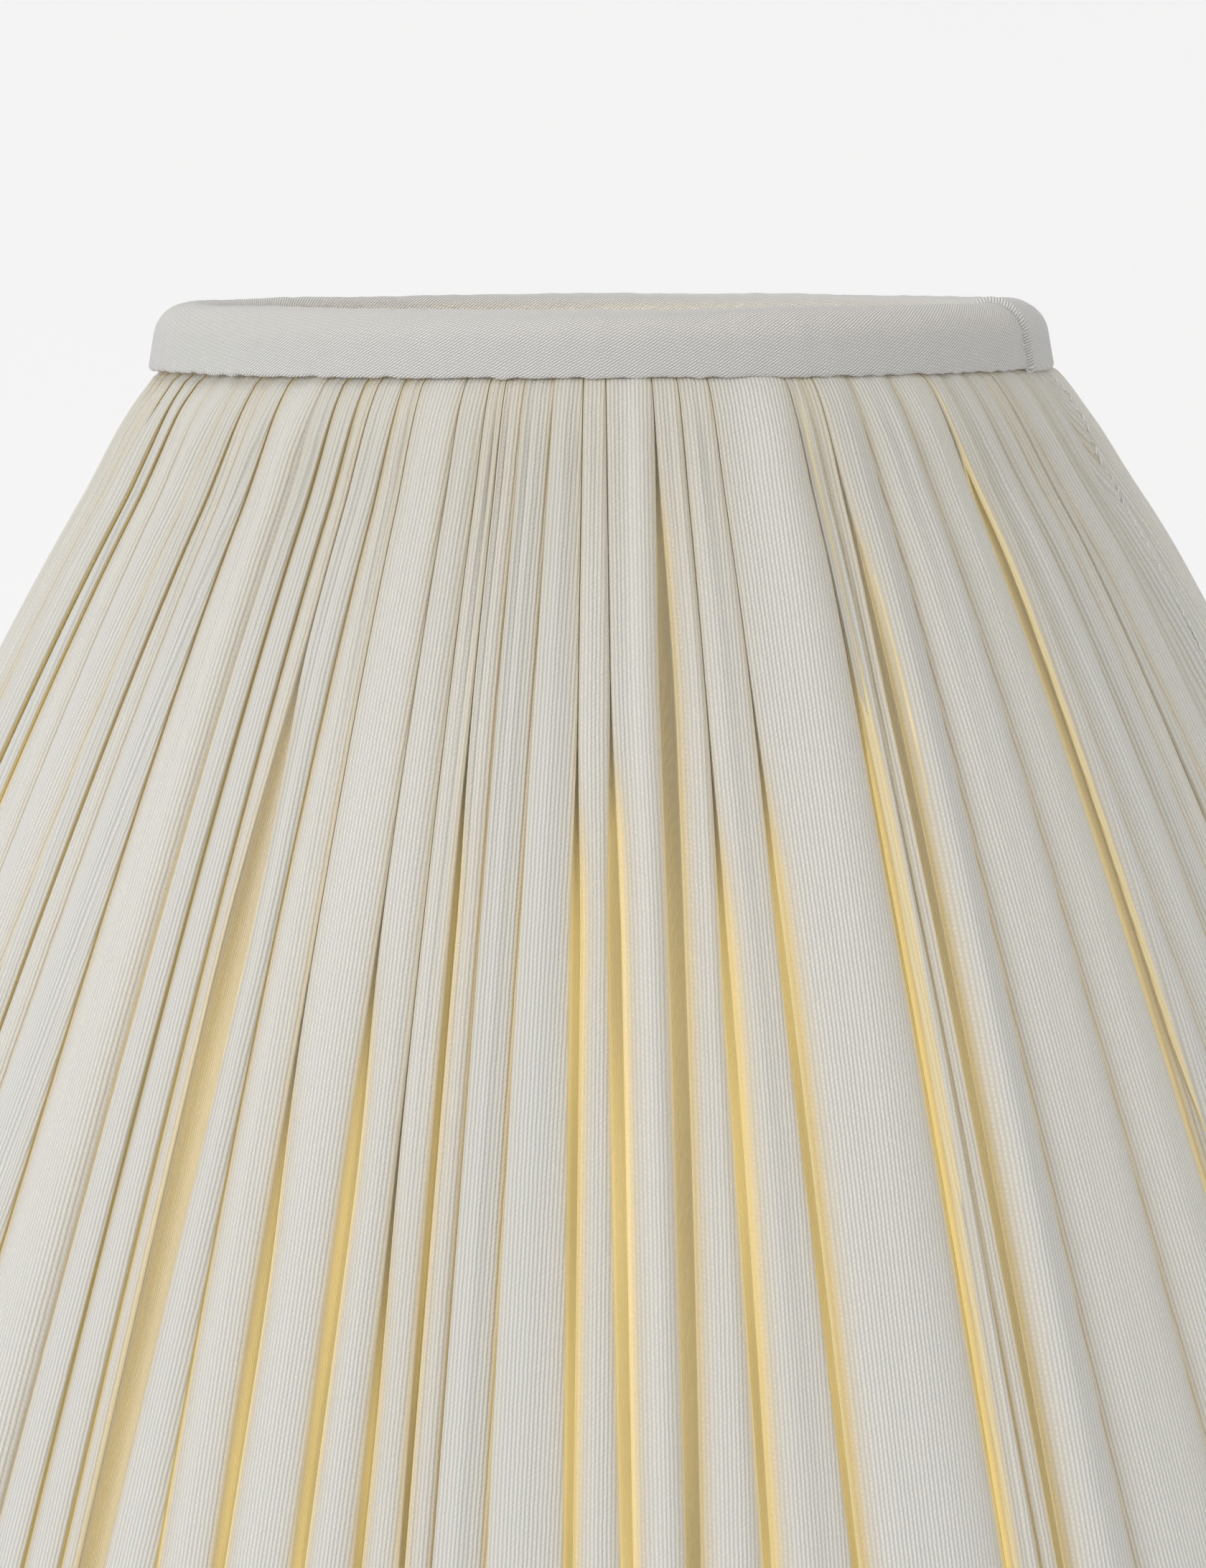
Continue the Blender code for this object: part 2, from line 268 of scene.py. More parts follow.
def new_group(name: str, inputs: dict[str, tuple[str, float | None]],
              outputs: dict[str, str]) -> tuple[NodeSet, Node, Node]:
    """Make a shader node group with named sockets.

    Args:
        name: the group's name.
        inputs: socket name to its type and default.
        outputs: socket name to its type.

    Returns:
        The group's nodes, its input node and its output node.
    """
    tree = bpy.data.node_groups.new(name, "ShaderNodeTree")
    for key, (kind, default) in inputs.items():
        socket = tree.interface.new_socket(key, in_out="INPUT", socket_type=f"NodeSocket{kind}")
        if default is not None:
            socket.default_value = default
    for key, kind in outputs.items():
        tree.interface.new_socket(key, in_out="OUTPUT", socket_type=f"NodeSocket{kind}")
    nodes = NodeSet(tree)
    return nodes, nodes.add("NodeGroupInput"), nodes.add("NodeGroupOutput")


def frayed(nodes: NodeSet, into: Node, scale: float) -> tuple[Socket, ...]:
    """Return the place across and along a cloth, and the small shift that frays its threads."""
    noise = nodes.noise(into.outputs["Vector"], "2D", Scale=scale, Detail=2.0)
    shift = nodes.sum("MULTIPLY", nodes.sum("SUBTRACT", noise, 0.5), into.outputs["Fray"])
    across = nodes.parts(into.outputs["Vector"])
    return across[0], across[1], shift


def stagger(nodes: NodeSet, which: Socket, every: float, share: float) -> Socket:
    """Return how far each thread's floats are stepped from the last thread's."""
    return nodes.sum("MULTIPLY", nodes.sum("MODULO", nodes.sum("ABSOLUTE", which), every), share)


def ribbed_weave_group() -> bpy.types.NodeTree:
    """Build the cover cloth's weave: ribs that run down it, crossed by short floats that step from rib to rib.

    Returns:
        The group, whose outputs are the weave's height and a mask of the bright floats.
    """
    nodes, into, out = new_group(
        "Ribbed weave",
        {"Vector": ("Vector", None), "Rib Pitch": ("Float", 0.00066), "Float Length": ("Float", 0.0009),
         "Fray": ("Float", 0.25)},
        {"Height": "Float", "Floats": "Float"})
    across, down, shift = frayed(nodes, into, 260.0)
    ribs = nodes.sum("ADD", nodes.sum("DIVIDE", across, into.outputs["Rib Pitch"]), shift)
    which = nodes.sum("FLOOR", ribs)
    rib = nodes.hump(ribs)
    along = nodes.sum("ADD", nodes.sum("DIVIDE", down, into.outputs["Float Length"]), stagger(nodes, which, 2.0, 0.5))
    dash = nodes.hump(nodes.sum("ADD", along, shift))
    random = nodes.add("ShaderNodeTexWhiteNoise", noise_dimensions="1D")
    nodes.join(which, random.inputs["W"])
    proud = nodes.spread(random.outputs["Value"], 0.0, 1.0, 0.62, 1.15)
    crossing = nodes.sum("MULTIPLY", nodes.sum("POWER", rib, 1.5), nodes.sum("POWER", dash, 1.5))
    floats = nodes.sum("MULTIPLY", crossing, proud)
    nodes.join(nodes.sum("MULTIPLY_ADD", floats, 0.45, nodes.sum("MULTIPLY", rib, 0.55)), out.inputs["Height"])
    nodes.join(floats, out.inputs["Floats"])
    return nodes.tree


def twill_group() -> bpy.types.NodeTree:
    """Build the tape's twill: close diagonal cords, each broken into short floats."""
    nodes, into, out = new_group(
        "Bias twill",
        {"Vector": ("Vector", None), "Cord Pitch": ("Float", 0.00077), "Rise": ("Float", 1.6),
         "Fray": ("Float", 0.3)},
        {"Height": "Float", "Cords": "Float"})
    across, down, shift = frayed(nodes, into, 300.0)
    u = nodes.sum("DIVIDE", across, into.outputs["Cord Pitch"])
    v = nodes.sum("DIVIDE", down, into.outputs["Cord Pitch"])
    cords = nodes.sum("ADD", nodes.sum("MULTIPLY_ADD", v, into.outputs["Rise"], u), shift)
    cord = nodes.hump(cords)
    slant = nodes.sum("MULTIPLY_ADD", u, -0.55, nodes.sum("MULTIPLY", v, 0.7))
    along = nodes.sum("ADD", slant, stagger(nodes, nodes.sum("FLOOR", cords), 3.0, 0.333))
    dash = nodes.hump(nodes.sum("ADD", along, shift))
    floats = nodes.sum("MULTIPLY", cord, nodes.sum("POWER", dash, 0.7))
    nodes.join(nodes.sum("MULTIPLY_ADD", floats, 0.5, nodes.sum("MULTIPLY", cord, 0.5)), out.inputs["Height"])
    nodes.join(cord, out.inputs["Cords"])
    return nodes.tree


def mottle_group() -> bpy.types.NodeTree:
    """Build soft uneven tone: large drifts and fine specks, about 0 to 1."""
    nodes, into, out = new_group(
        "Uneven tone", {"Vector": ("Vector", None), "Drift": ("Float", 14.0), "Speck": ("Float", 900.0)},
        {"Drift": "Float", "Speck": "Float"})
    for key, detail in (("Drift", 3.0), ("Speck", 2.0)):
        noise = nodes.noise(into.outputs["Vector"], Scale=into.outputs[key], Detail=detail)
        nodes.join(nodes.spread(noise, 0.3, 0.7), out.inputs[key])
    return nodes.tree


def edge_wear_group() -> bpy.types.NodeTree:
    """Build rubbed patches on coated wire: a mask that is 1 where the coat has gone."""
    nodes, into, out = new_group(
        "Rubbed coat", {"Vector": ("Vector", None), "Scale": ("Float", 160.0), "Amount": ("Float", 0.35)},
        {"Bare": "Float", "Grain": "Float"})
    patches = nodes.noise(into.outputs["Vector"], Scale=into.outputs["Scale"], Detail=5.0)
    level = nodes.sum("SUBTRACT", patches, nodes.sum("SUBTRACT", 0.95, into.outputs["Amount"]))
    nodes.join(nodes.spread(level, 0.0, 0.05), out.inputs["Bare"])
    nodes.join(nodes.noise(into.outputs["Vector"], Scale=2200.0), out.inputs["Grain"])
    return nodes.tree


@dataclass
class Workshop:
    """The shared node groups, and how a material is started."""

    groups: dict[str, bpy.types.NodeTree] = field(default_factory=dict)

    def group(self, name: str) -> bpy.types.NodeTree:
        """Return a shared node group, built the first time it is asked for."""
        makers = {"ribbed weave": ribbed_weave_group, "twill": twill_group, "tone": mottle_group,
                  "rubbed coat": edge_wear_group}
        if name not in self.groups:
            self.groups[name] = makers[name]()
        return self.groups[name]

    def start(self, name: str) -> tuple[Material, NodeSet, Node, Node]:
        """Start a material with a Principled shader and an output.

        Returns:
            The material, its nodes, the shader and the output node.
        """
        material = bpy.data.materials.new(name)
        material.use_nodes = True
        material.node_tree.nodes.clear()
        nodes = NodeSet(material.node_tree)
        shader, out = nodes.add("ShaderNodeBsdfPrincipled"), nodes.add("ShaderNodeOutputMaterial")
        nodes.join(shader.outputs[0], out.inputs[0])
        return material, nodes, shader, out

    def place(self, nodes: NodeSet, name: str, vector: Socket, **values: float) -> bpy.types.NodeOutputs:
        """Put a shared group into a material with its own values, and return its outputs."""
        node = nodes.add("ShaderNodeGroup", node_tree=self.group(name))
        nodes.fill(node, Vector=vector, **values)
        return node.outputs


def bump(nodes: NodeSet, height: Socket, distance: float, strength: float,
         shader: Node) -> None:
    """Drive a shader's normal from a height, with the depth of the relief in metres."""
    node = nodes.add("ShaderNodeBump")
    nodes.fill(node, Distance=distance, Strength=strength, Height=height)
    nodes.join(node.outputs[0], shader.inputs["Normal"])


def let_light_through(nodes: NodeSet, shader: Node, out: Node,
                      colour: Colour, share: float) -> None:
    """Let a share of the light pass through a cloth, in a colour."""
    light = nodes.add("ShaderNodeBsdfTranslucent")
    nodes.fill(light, Color=colour)
    mix = nodes.add("ShaderNodeMixShader")
    mix.inputs[0].default_value = share
    for source, target in ((shader, mix.inputs[1]), (light, mix.inputs[2]), (mix, out.inputs[0])):
        nodes.join(source.outputs[0], target)


@dataclass(frozen=True)
class CoverCloth:
    """Cream ribbed cloth that a lamp shines through, with painted shade and a painted lamp glow (emission) in the
    hollows between pleats.
    """

    face: Colour = (0.79, 0.80, 0.805)
    # painted shade: the tan laid into the creases and hollows between pleats
    hollow: Colour = (0.63, 0.55, 0.40)
    through: Colour = (0.88, 0.87, 0.78)
    # painted glow: an emission in the hollows that stands in for the lamp's light through the folds
    glow: Colour = (0.56, 0.435, 0.15)
    glow_power: float = 0.86
    darker_tone_and_shade: Colour = (0.80, 0.77, 0.69)  # of the face colour, for darker pleats and for painted shade near the top creases
    sheer: float = 0.06
    rib_pitch: float = 0.66 * MM
    relief: float = 0.24 * MM

    def build(self, shop: Workshop) -> Material:
        """Return the cover's material, which reads two of the sheet's attributes: a mask of painted shade and painted
        glow in the hollows, and the pleats' tone with painted shade near the top creases.
        """
        material, nodes, shader, out = shop.start("cream_ribbed_cloth")
        uv, here = nodes.cloth_places()
        hollow, tone_and_painted_shade = (nodes.add("ShaderNodeAttribute", attribute_name=key).outputs["Fac"] for key in ("hollow", "tone_and_painted_shade"))
        weave = shop.place(nodes, "ribbed weave", uv, Rib_Pitch=self.rib_pitch)
        tone = shop.place(nodes, "tone", here, Drift=22.0, Speck=1300.0)
        # the pleats' tone darkens the face, and with it the painted shade near the top creases
        darker = tuple(c * f for c, f in zip(self.face, self.darker_tone_and_shade))
        base = nodes.touch(self.face, tone_and_painted_shade, 0.18, darker)
        base = nodes.touch(base, tone["Drift"], 0.2, (0.80, 0.78, 0.73))
        # painted shade: darker in the grooves between the ribs
        base = nodes.touch(base, nodes.sum("SUBTRACT", 1.0, weave["Height"]), 0.72, (0.52, 0.51, 0.46))
        base = nodes.touch(base, tone["Speck"], 0.14, (0.66, 0.64, 0.58))
        # painted shade and glow: the hollow mask turns the base to the tan and drives the emission
        lit = nodes.sum("POWER", nodes.spread(hollow, 0.25, 1.0), 1.25)
        nodes.fill(shader, Base_Color=nodes.blend(nodes.spread(hollow, 0.0, 0.55), base, self.hollow),
                   Roughness=nodes.spread(weave["Floats"], 0.0, 1.0, 0.78, 0.42),
                   Sheen_Weight=0.2, Sheen_Roughness=0.5, Specular_IOR_Level=0.35,
                   Emission_Color=nodes.blend(lit, (0.0, 0.0, 0.0), self.glow), Emission_Strength=self.glow_power)
        bump(nodes, weave["Height"], self.relief, 0.85, shader)
        let_light_through(nodes, shader, out, self.through, self.sheer)
        return material


@dataclass(frozen=True)
class TwillTape:
    """Off-white cotton twill, cut on the bias for the bindings."""

    face: Colour = (0.90, 0.90, 0.885)
    # painted shade: darker between the twill's cords
    painted_groove_shade: Colour = (0.34, 0.34, 0.33)
    through: Colour = (0.88, 0.74, 0.66)
    sheer: float = 0.16
    cord_pitch: float = 0.77 * MM
    relief: float = 0.38 * MM

    def build(self, shop: Workshop) -> Material:
        """Return the tape's material."""
        material, nodes, shader, out = shop.start("bias_twill")
        uv, here = nodes.cloth_places()
        twill = shop.place(nodes, "twill", uv, Cord_Pitch=self.cord_pitch)
        tone = shop.place(nodes, "tone", here, Drift=30.0, Speck=1500.0)
        # painted shade: darker between the twill's cords
        base = nodes.blend(nodes.spread(twill["Height"], 0.05, 0.8, 0.85, 0.0), self.face, self.painted_groove_shade)
        base = nodes.touch(base, tone["Drift"], 0.16, (0.66, 0.65, 0.61))
        base = nodes.touch(base, tone["Speck"], 0.12, (0.60, 0.59, 0.56))
        nodes.fill(shader, Base_Color=base, Roughness=nodes.spread(twill["Cords"], 0.0, 1.0, 0.85, 0.6),
                   Sheen_Weight=0.25, Specular_IOR_Level=0.3)
        bump(nodes, twill["Height"], self.relief, 0.6, shader)
        let_light_through(nodes, shader, out, self.through, self.sheer)
        return material


@dataclass(frozen=True)
class LiningCloth:
    """Fine smooth lining cloth that spreads the lamp's light."""

    face: Colour = (0.80, 0.77, 0.71)
    through: Colour = (0.92, 0.80, 0.60)
    sheer: float = 0.45

    def build(self, shop: Workshop) -> Material:
        """Return the lining's material."""
        material, nodes, shader, out = shop.start("lining_cloth")
        uv, here = nodes.cloth_places()
        weave = shop.place(nodes, "ribbed weave", uv, Rib_Pitch=0.30 * MM, Float_Length=0.42 * MM)
        tone = shop.place(nodes, "tone", here, Drift=16.0, Speck=1100.0)
        base = nodes.touch(self.face, tone["Drift"], 0.3, (0.72, 0.68, 0.60))
        # painted shade: darker in the grooves between the ribs
        base = nodes.touch(base, nodes.sum("SUBTRACT", 1.0, weave["Height"]), 0.25, (0.55, 0.50, 0.42))
        nodes.fill(shader, Base_Color=base, Roughness=nodes.spread(weave["Floats"], 0.0, 1.0, 0.7, 0.45),
                   Sheen_Weight=0.15)
        bump(nodes, weave["Height"], 0.05 * MM, 0.4, shader)
        let_light_through(nodes, shader, out, self.through, self.sheer)
        return material


@dataclass(frozen=True)
class CoatedWire:
    """White painted steel wire, rubbed through here and there."""

    name: str = "painted_wire"
    coat: Colour = (0.74, 0.73, 0.69)
    bare: Colour = (0.42, 0.40, 0.37)
    metal: float = 0.0
    roughness: float = 0.38
    wear: float = 0.30

    def build(self, shop: Workshop) -> Material:
        """Return the wire's material."""
        material, nodes, shader, _ = shop.start(self.name)
        here = nodes.object_place()
        worn = shop.place(nodes, "rubbed coat", here, Amount=self.wear)
        tone = shop.place(nodes, "tone", here, Drift=40.0, Speck=700.0)
        base = nodes.touch(self.coat, tone["Drift"], 0.3, tuple(c * 0.82 for c in self.coat))
        nodes.fill(shader, Base_Color=nodes.blend(worn["Bare"], base, self.bare),
                   Metallic=nodes.spread(worn["Bare"], 0.0, 1.0, self.metal, 0.9),
                   Roughness=nodes.spread(tone["Speck"], 0.0, 1.0, self.roughness, self.roughness + 0.16))
        bump(nodes, worn["Grain"], 0.03 * MM, 0.35, shader)
        return material


@dataclass(frozen=True)
class WoundTape:
    """Narrow cotton tape wound on the rings, with its turns showing as slanting ridges."""

    face: Colour = (0.72, 0.70, 0.64)
    turn_pitch: float = 6.0 * MM
    wound_radius: float = 69.3 * MM
    lean: float = 110.0

    def build(self, shop: Workshop) -> Material:
        """Return the ring tape's material."""
        material, nodes, shader, _ = shop.start("wound_cotton_tape")
        here = nodes.object_place()
        tone = shop.place(nodes, "tone", here, Drift=90.0, Speck=1400.0)
        split = nodes.parts(here)
        x, y, z = split[0], split[1], split[2]
        radius = nodes.sum("SQRT", nodes.sum("ADD", nodes.sum("MULTIPLY", x, x), nodes.sum("MULTIPLY", y, y)))
        turns = nodes.sum("MULTIPLY", nodes.sum("ARCTAN2", x, y), 1.0 / (self.turn_pitch / self.wound_radius))
        slant = nodes.sum("ADD", turns, nodes.sum("MULTIPLY", nodes.sum("ADD", z, radius), self.lean))
        ridge = nodes.sum("POWER", nodes.sum("FRACT", slant), 0.35)
        # painted shade: darker in the grooves between the tape's turns
        base = nodes.blend(nodes.spread(ridge, 0.3, 0.8, 0.6, 0.0), self.face, (0.50, 0.47, 0.40))
        base = nodes.touch(base, tone["Speck"], 0.2, (0.58, 0.55, 0.48))
        nodes.fill(shader, Base_Color=base, Roughness=nodes.spread(tone["Drift"], 0.0, 1.0, 0.75, 0.9))
        bump(nodes, nodes.sum("ADD", ridge, nodes.sum("MULTIPLY", tone["Speck"], 0.3)), 0.25 * MM, 0.6, shader)
        return material


@dataclass(frozen=True)
class SewingThread:
    """Smooth off-white sewing thread."""

    face: Colour = (0.84, 0.83, 0.79)

    def build(self, shop: Workshop) -> Material:
        """Return the thread's material."""
        material, nodes, shader, _ = shop.start("sewing_thread")
        tone = shop.place(nodes, "tone", nodes.object_place(), Drift=200.0, Speck=2600.0)
        nodes.fill(shader, Base_Color=nodes.touch(self.face, tone["Speck"], 0.4, (0.60, 0.58, 0.52)),
                   Roughness=nodes.spread(tone["Speck"], 0.0, 1.0, 0.35, 0.6))
        bump(nodes, tone["Speck"], 0.05 * MM, 0.4, shader)
        return material


@dataclass(frozen=True)
class DriedGlue:
    """A clear spot of dried fabric glue."""

    def build(self, shop: Workshop) -> Material:
        """Return the glue's material."""
        material, nodes, shader, _ = shop.start("dried_glue")
        tone = shop.place(nodes, "tone", nodes.object_place(), Drift=400.0, Speck=1800.0)
        nodes.fill(shader, Base_Color=nodes.blend(tone["Drift"], (0.78, 0.77, 0.73), (0.88, 0.88, 0.86)),
                   Roughness=nodes.spread(tone["Speck"], 0.0, 1.0, 0.08, 0.22))
        bump(nodes, tone["Drift"], 0.1 * MM, 0.4, shader)
        return material


# ---------------------------------------------------------------------------------------------- pieces


def keep(piece: Object, material: Material, slot: str, *nodes: str) -> Object:
    """Dress a finished piece and fix it to the shade.

    Args:
        piece: the finished mesh object.
        material: its finish.
        slot: a material slot's name; not used.
        nodes: the plain solids that it stands for.
    """
    piece.data.materials.clear()
    piece.data.materials.append(material)
    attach(piece, BODY)
    if nodes:
        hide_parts(*nodes)
    LOG.info("%s: %d faces", piece.name, len(piece.data.polygons))
    return piece


class Edge(Enum):
    """How one pleat's visible face meets the next."""

    RIGHT_OVER = "the left face's crease lies over the right face"
    LEFT_OVER = "the right face's crease lies over the left face"
    OPEN = "two creases with the hollow between them showing"
    EASED = "a soft hollow with no crease"


@dataclass(frozen=True)
class Opening:
    """A place where two creases part and the hollow between them shows.

    Angles are in degrees from the front at the top and the bottom; start and full are how far down the
    side it begins and reaches its width, 0 to 1; width and depth are in millimetres. Warmth is how much
    painted lamp glow it gets.
    """

    top: float
    bottom: float
    start: float
    full: float
    width: float
    depth: float
    painted_warmth: float = 1.0


FRONT_OPENINGS = (
    Opening(-73.8, -74.5, 0.08, 0.30, 1.7, 3.2), Opening(-52.0, -51.0, 0.35, 0.70, 1.2, 2.6),
    Opening(-28.4, -29.8, 0.14, 0.38, 5.0, 2.0, 0.55), Opening(-22.4, -21.4, 0.32, 0.60, 1.7, 3.0),
    Opening(-16.8, -17.1, 0.28, 0.52, 1.9, 3.4), Opening(-13.7, -13.6, 0.38, 0.66, 1.3, 3.0),
    Opening(-11.7, -10.9, 0.18, 0.34, 1.0, 2.4), Opening(-2.2, -2.0, 0.20, 0.36, 1.7, 3.4),
    Opening(0.5, 1.4, 0.18, 0.36, 2.6, 3.0), Opening(6.1, 4.2, 0.01, 0.22, 3.4, 3.2, 0.62),
    Opening(9.2, 8.6, 0.20, 0.42, 2.1, 3.2), Opening(13.0, 13.9, 0.16, 0.42, 2.4, 3.6),
    Opening(23.0, 21.8, 0.10, 0.32, 1.9, 3.2), Opening(26.6, 24.9, 0.03, 0.22, 3.0, 2.6, 0.6),
    Opening(43.7, 41.6, 0.01, 0.15, 2.7, 3.6, 0.75), Opening(57.0, 58.0, 0.20, 0.45, 1.5, 3.0),
)
BACK_OPENINGS = (
    Opening(96.0, 95.0, 0.05, 0.30, 2.2, 3.2), Opening(118.0, 119.0, 0.22, 0.50, 1.8, 3.0),
    Opening(131.0, 130.0, 0.02, 0.25, 2.8, 3.4), Opening(152.0, 153.5, 0.30, 0.55, 1.5, 3.0),
    Opening(168.0, 167.0, 0.10, 0.35, 2.4, 3.4), Opening(189.0, 190.5, 0.20, 0.40, 3.0, 3.0),
    Opening(205.0, 204.0, 0.01, 0.20, 2.0, 3.4), Opening(226.0, 227.0, 0.25, 0.50, 2.4, 3.0),
    Opening(247.0, 246.0, 0.08, 0.28, 2.8, 3.2), Opening(262.0, 263.0, 0.32, 0.60, 1.6, 3.0),
)


# Where the columns lie across a pleat's face, closer together at its creases.
FACE_PLACES = np.array([0.0, 0.03, 0.08, 0.16, 0.27, 0.39, 0.51, 0.62, 0.73, 0.83, 0.91, 0.965, 1.0])
# How often each kind of crease comes, where no opening is placed.
EDGE_SHARES = {Edge.RIGHT_OVER: 0.74, Edge.LEFT_OVER: 0.17, Edge.EASED: 0.09}
# The ripples down a pleat's face, three short and one long: the ranges of the place across it and the width, as
# shares of the face, the depth in millimetres, and how soon it fades down the side.
RIPPLES = 3 * (((0.12, 0.88), (0.05, 0.09), (0.25, 0.75), (0.06, 0.30)),) + (
    ((0.2, 0.8), (0.07, 0.16), (0.15, 0.9), (0.5, 3.0)),)
# A tuck, from its crease in: how far under as a share of its reach, how far past that and how deep in
# thicknesses of cloth, the cloth that the bends take up when laid inwards and outwards, its painted shade and
# glow, and whether that is a share of the crease's own.
TUCK = (
    (0.0, 0.0, 0.5, 0.5, 0.0, 0.6, True), (0.0, 0.15, 0.85, 1.0, 0.0, 0.9, True), (0.0, 0.5, 1.0, 1.4, 0.0, 1.0, True),
    (0.4, 0.0, 1.0, 0.0, 0.0, 0.7, False), (0.75, 0.0, 1.0, 0.0, 0.0, 0.7, False),
    (1.0, 0.0, 1.0, 0.0, 1.0, 0.7, False),
    (1.0, 0.4, 1.5, 0.5, 0.5, 0.7, False), (1.0, 0.0, 2.0, 1.0, 0.0, 0.7, False),
    (0.6, 0.0, 2.0, 0.0, 0.0, 0.6, False), (0.2, 0.0, 2.0, 0.0, 0.0, 0.6, False),
)
# An open hollow from left to right: the place as a share of the gap, the depth as a share of the hollow's and
# of the lip's, the cloth taken up as a share of the depth, and the painted shade and glow.
HOLLOW = (
    (-0.5, 0.12, 0.0, 0.1, 0.45), (-0.56, 0.45, 0.0, 0.5, 0.80), (-0.50, 0.80, 0.0, 0.9, 1.0),
    (-0.30, 0.97, 0.0, 1.1, 1.0), (-0.10, 1.0, 0.0, 1.3, 0.95), (0.10, 0.98, 0.0, 1.5, 0.92),
    (0.27, 0.92, 0.0, 1.7, 0.88), (0.40, 0.6, 0.4, 1.9, 0.84), (0.47, 0.3, 0.7, 2.1, 0.82), (0.50, 0.0, 1.0, 2.2, 0.80),
)


@dataclass
class GatheredCover:
    """The cover: one long strip of cloth laid round the frame in hand-made pleats.

    Each pleat is a face that shows, a crease, a part folded back under it and a part that runs on under
    the crease to the next face. The cloth is as wide at the bottom as at the top, so more of it is folded
    away at the top, where the shade is narrow.
    """

    pleats: int = 100
    panels: int = 4
    seed: int = 23
    cloth_per_pleat: float = 19.5
    cloth_step: float = 0.0371  # metres between one pleat's place on the cloth and the next's
    cloth_length: float = 0.297
    unevenness: float = 0.40                  # spread of the pleats' widths at the top
    foot_jitter: float = 0.38                 # how far a crease strays at the bottom, in pitches
    least: tuple[float, float] = (0.40, 0.36)  # narrowest pleat at the top and the bottom, in pitches
    most: float = 1.7                         # widest pleat, in pitches
    fullness: tuple[float, float] = (1.7, 3.7)     # how high a face stands between its creases
    squareness: tuple[float, float] = (1.45, 2.7)  # how flat it is across the middle
    ply: float = 0.25
    top: tuple[float, float] = (75.0, 266.2)
    bottom: tuple[float, float] = (198.3, 12.0)
    tuck_top: tuple[float, float] = (74.2, 271.8)
    tuck_bottom: tuple[float, float] = (200.1, 6.6)
    crown: float = 6.0
    strut_ridge: float = 0.45
    join_ridge: float = 1.5
    belly: float = 1.7
    draw_in: float = 1.7
    pressed: float = 0.55        # how flat the folds are pressed under the bottom binding
    pressed_from: float = 0.965  # where that begins down the side
    rows: int = 112

    def profile(self) -> tuple[np.ndarray, np.ndarray, np.ndarray]:
        """Return each row's place down the side (0 top, 1 bottom), its radius and its height."""
        upper, lower = np.linspace(-0.024, -0.004, 3), np.array([1.008, 1.02])
        down = np.linspace(0.0, 1.0, self.rows) ** 1.12
        place = np.concatenate([upper, down, lower])
        inner = np.clip(place, 0.0, 1.0)
        swell = self.crown * np.sin(math.pi * inner ** 0.55)
        radius = self.top[0] + (self.bottom[0] - self.top[0]) * inner + swell * math.cos(SIDE_ANGLE)
        height = self.top[1] + (self.bottom[1] - self.top[1]) * inner + swell * math.sin(SIDE_ANGLE)
        for beyond, start, end in ((np.clip(-place / 0.024, 0, 1), self.top, self.tuck_top),
                                   (np.clip((place - 1.0) / 0.02, 0, 1), self.bottom, self.tuck_bottom)):
            radius = radius + beyond * (end[0] - start[0])
            height = height + beyond * (end[1] - start[1])
        return place, radius, height

    def _creases(self, rng: np.random.Generator) -> tuple[np.ndarray, np.ndarray, list[Opening | None]]:
        """Lay out where the pleats meet, at the top and the bottom.

        Returns:
            The angles at the top and at the bottom, rising, and the opening at each or None.
        """
        pitch = TURN / self.pleats
        width = np.exp(rng.normal(0.0, self.unevenness, self.pleats))
        upper = np.cumsum(width) / width.sum() * TURN - math.radians(90.0)
        sway = 0.010 * np.sin(5.0 * upper + 1.1) + 0.008 * np.sin(11.0 * upper + 0.3)
        lower = upper + sway + rng.normal(0.0, self.foot_jitter * pitch, self.pleats)
        openings: list[Opening | None] = [None] * self.pleats
        taken: set[int] = set()
        spots = sorted((*FRONT_OPENINGS, *BACK_OPENINGS), key=lambda spot: spot.top)
        for spot in spots:
            free = [k for k in range(self.pleats) if k not in taken]
            taken.add(min(free, key=lambda k: abs(upper[k] - math.radians(spot.top))))
        for nearest, spot in zip(sorted(taken), spots):
            upper[nearest], lower[nearest] = math.radians(spot.top), math.radians(spot.bottom)
            openings[nearest] = spot
        held = np.array([spot is not None for spot in openings])
        for angles, least in ((upper, self.least[0] * pitch), (lower, self.least[1] * pitch)):
            for _ in range(200):
                gaps = np.diff(np.append(angles, angles[0] + TURN))
                short = (np.maximum(least - gaps, 0.0) - np.maximum(gaps - self.most * pitch, 0.0)) * 0.3
                push = np.roll(short, 1) - short
                angles += np.where(held, 0.0, push)
        return upper, lower, openings

    def sections(self) -> tuple[np.ndarray, np.ndarray, np.ndarray, np.ndarray, np.ndarray, list[int]]:
        """Fold the cloth.

        Returns:
            Distance round the shade, height above the side line, cloth distance, a mask of painted shade and painted
            glow in the hollows, and tone with painted shade near the top creases, for every row and column, and the
            column where each pleat's face starts.
        """
        rng = np.random.default_rng(self.seed)
        place, radius, _ = self.profile()
        down = np.clip(place, 0.0, 1.0)
        upper, foot, openings = self._creases(rng)
        kinds = [Edge.OPEN if spot else rng.choice(list(EDGE_SHARES), p=list(EDGE_SHARES.values()))
                 for spot in openings]
        loft = np.exp(rng.normal(0.0, 0.35, self.pleats))
        bend = rng.normal(0.0, 0.006, self.pleats)
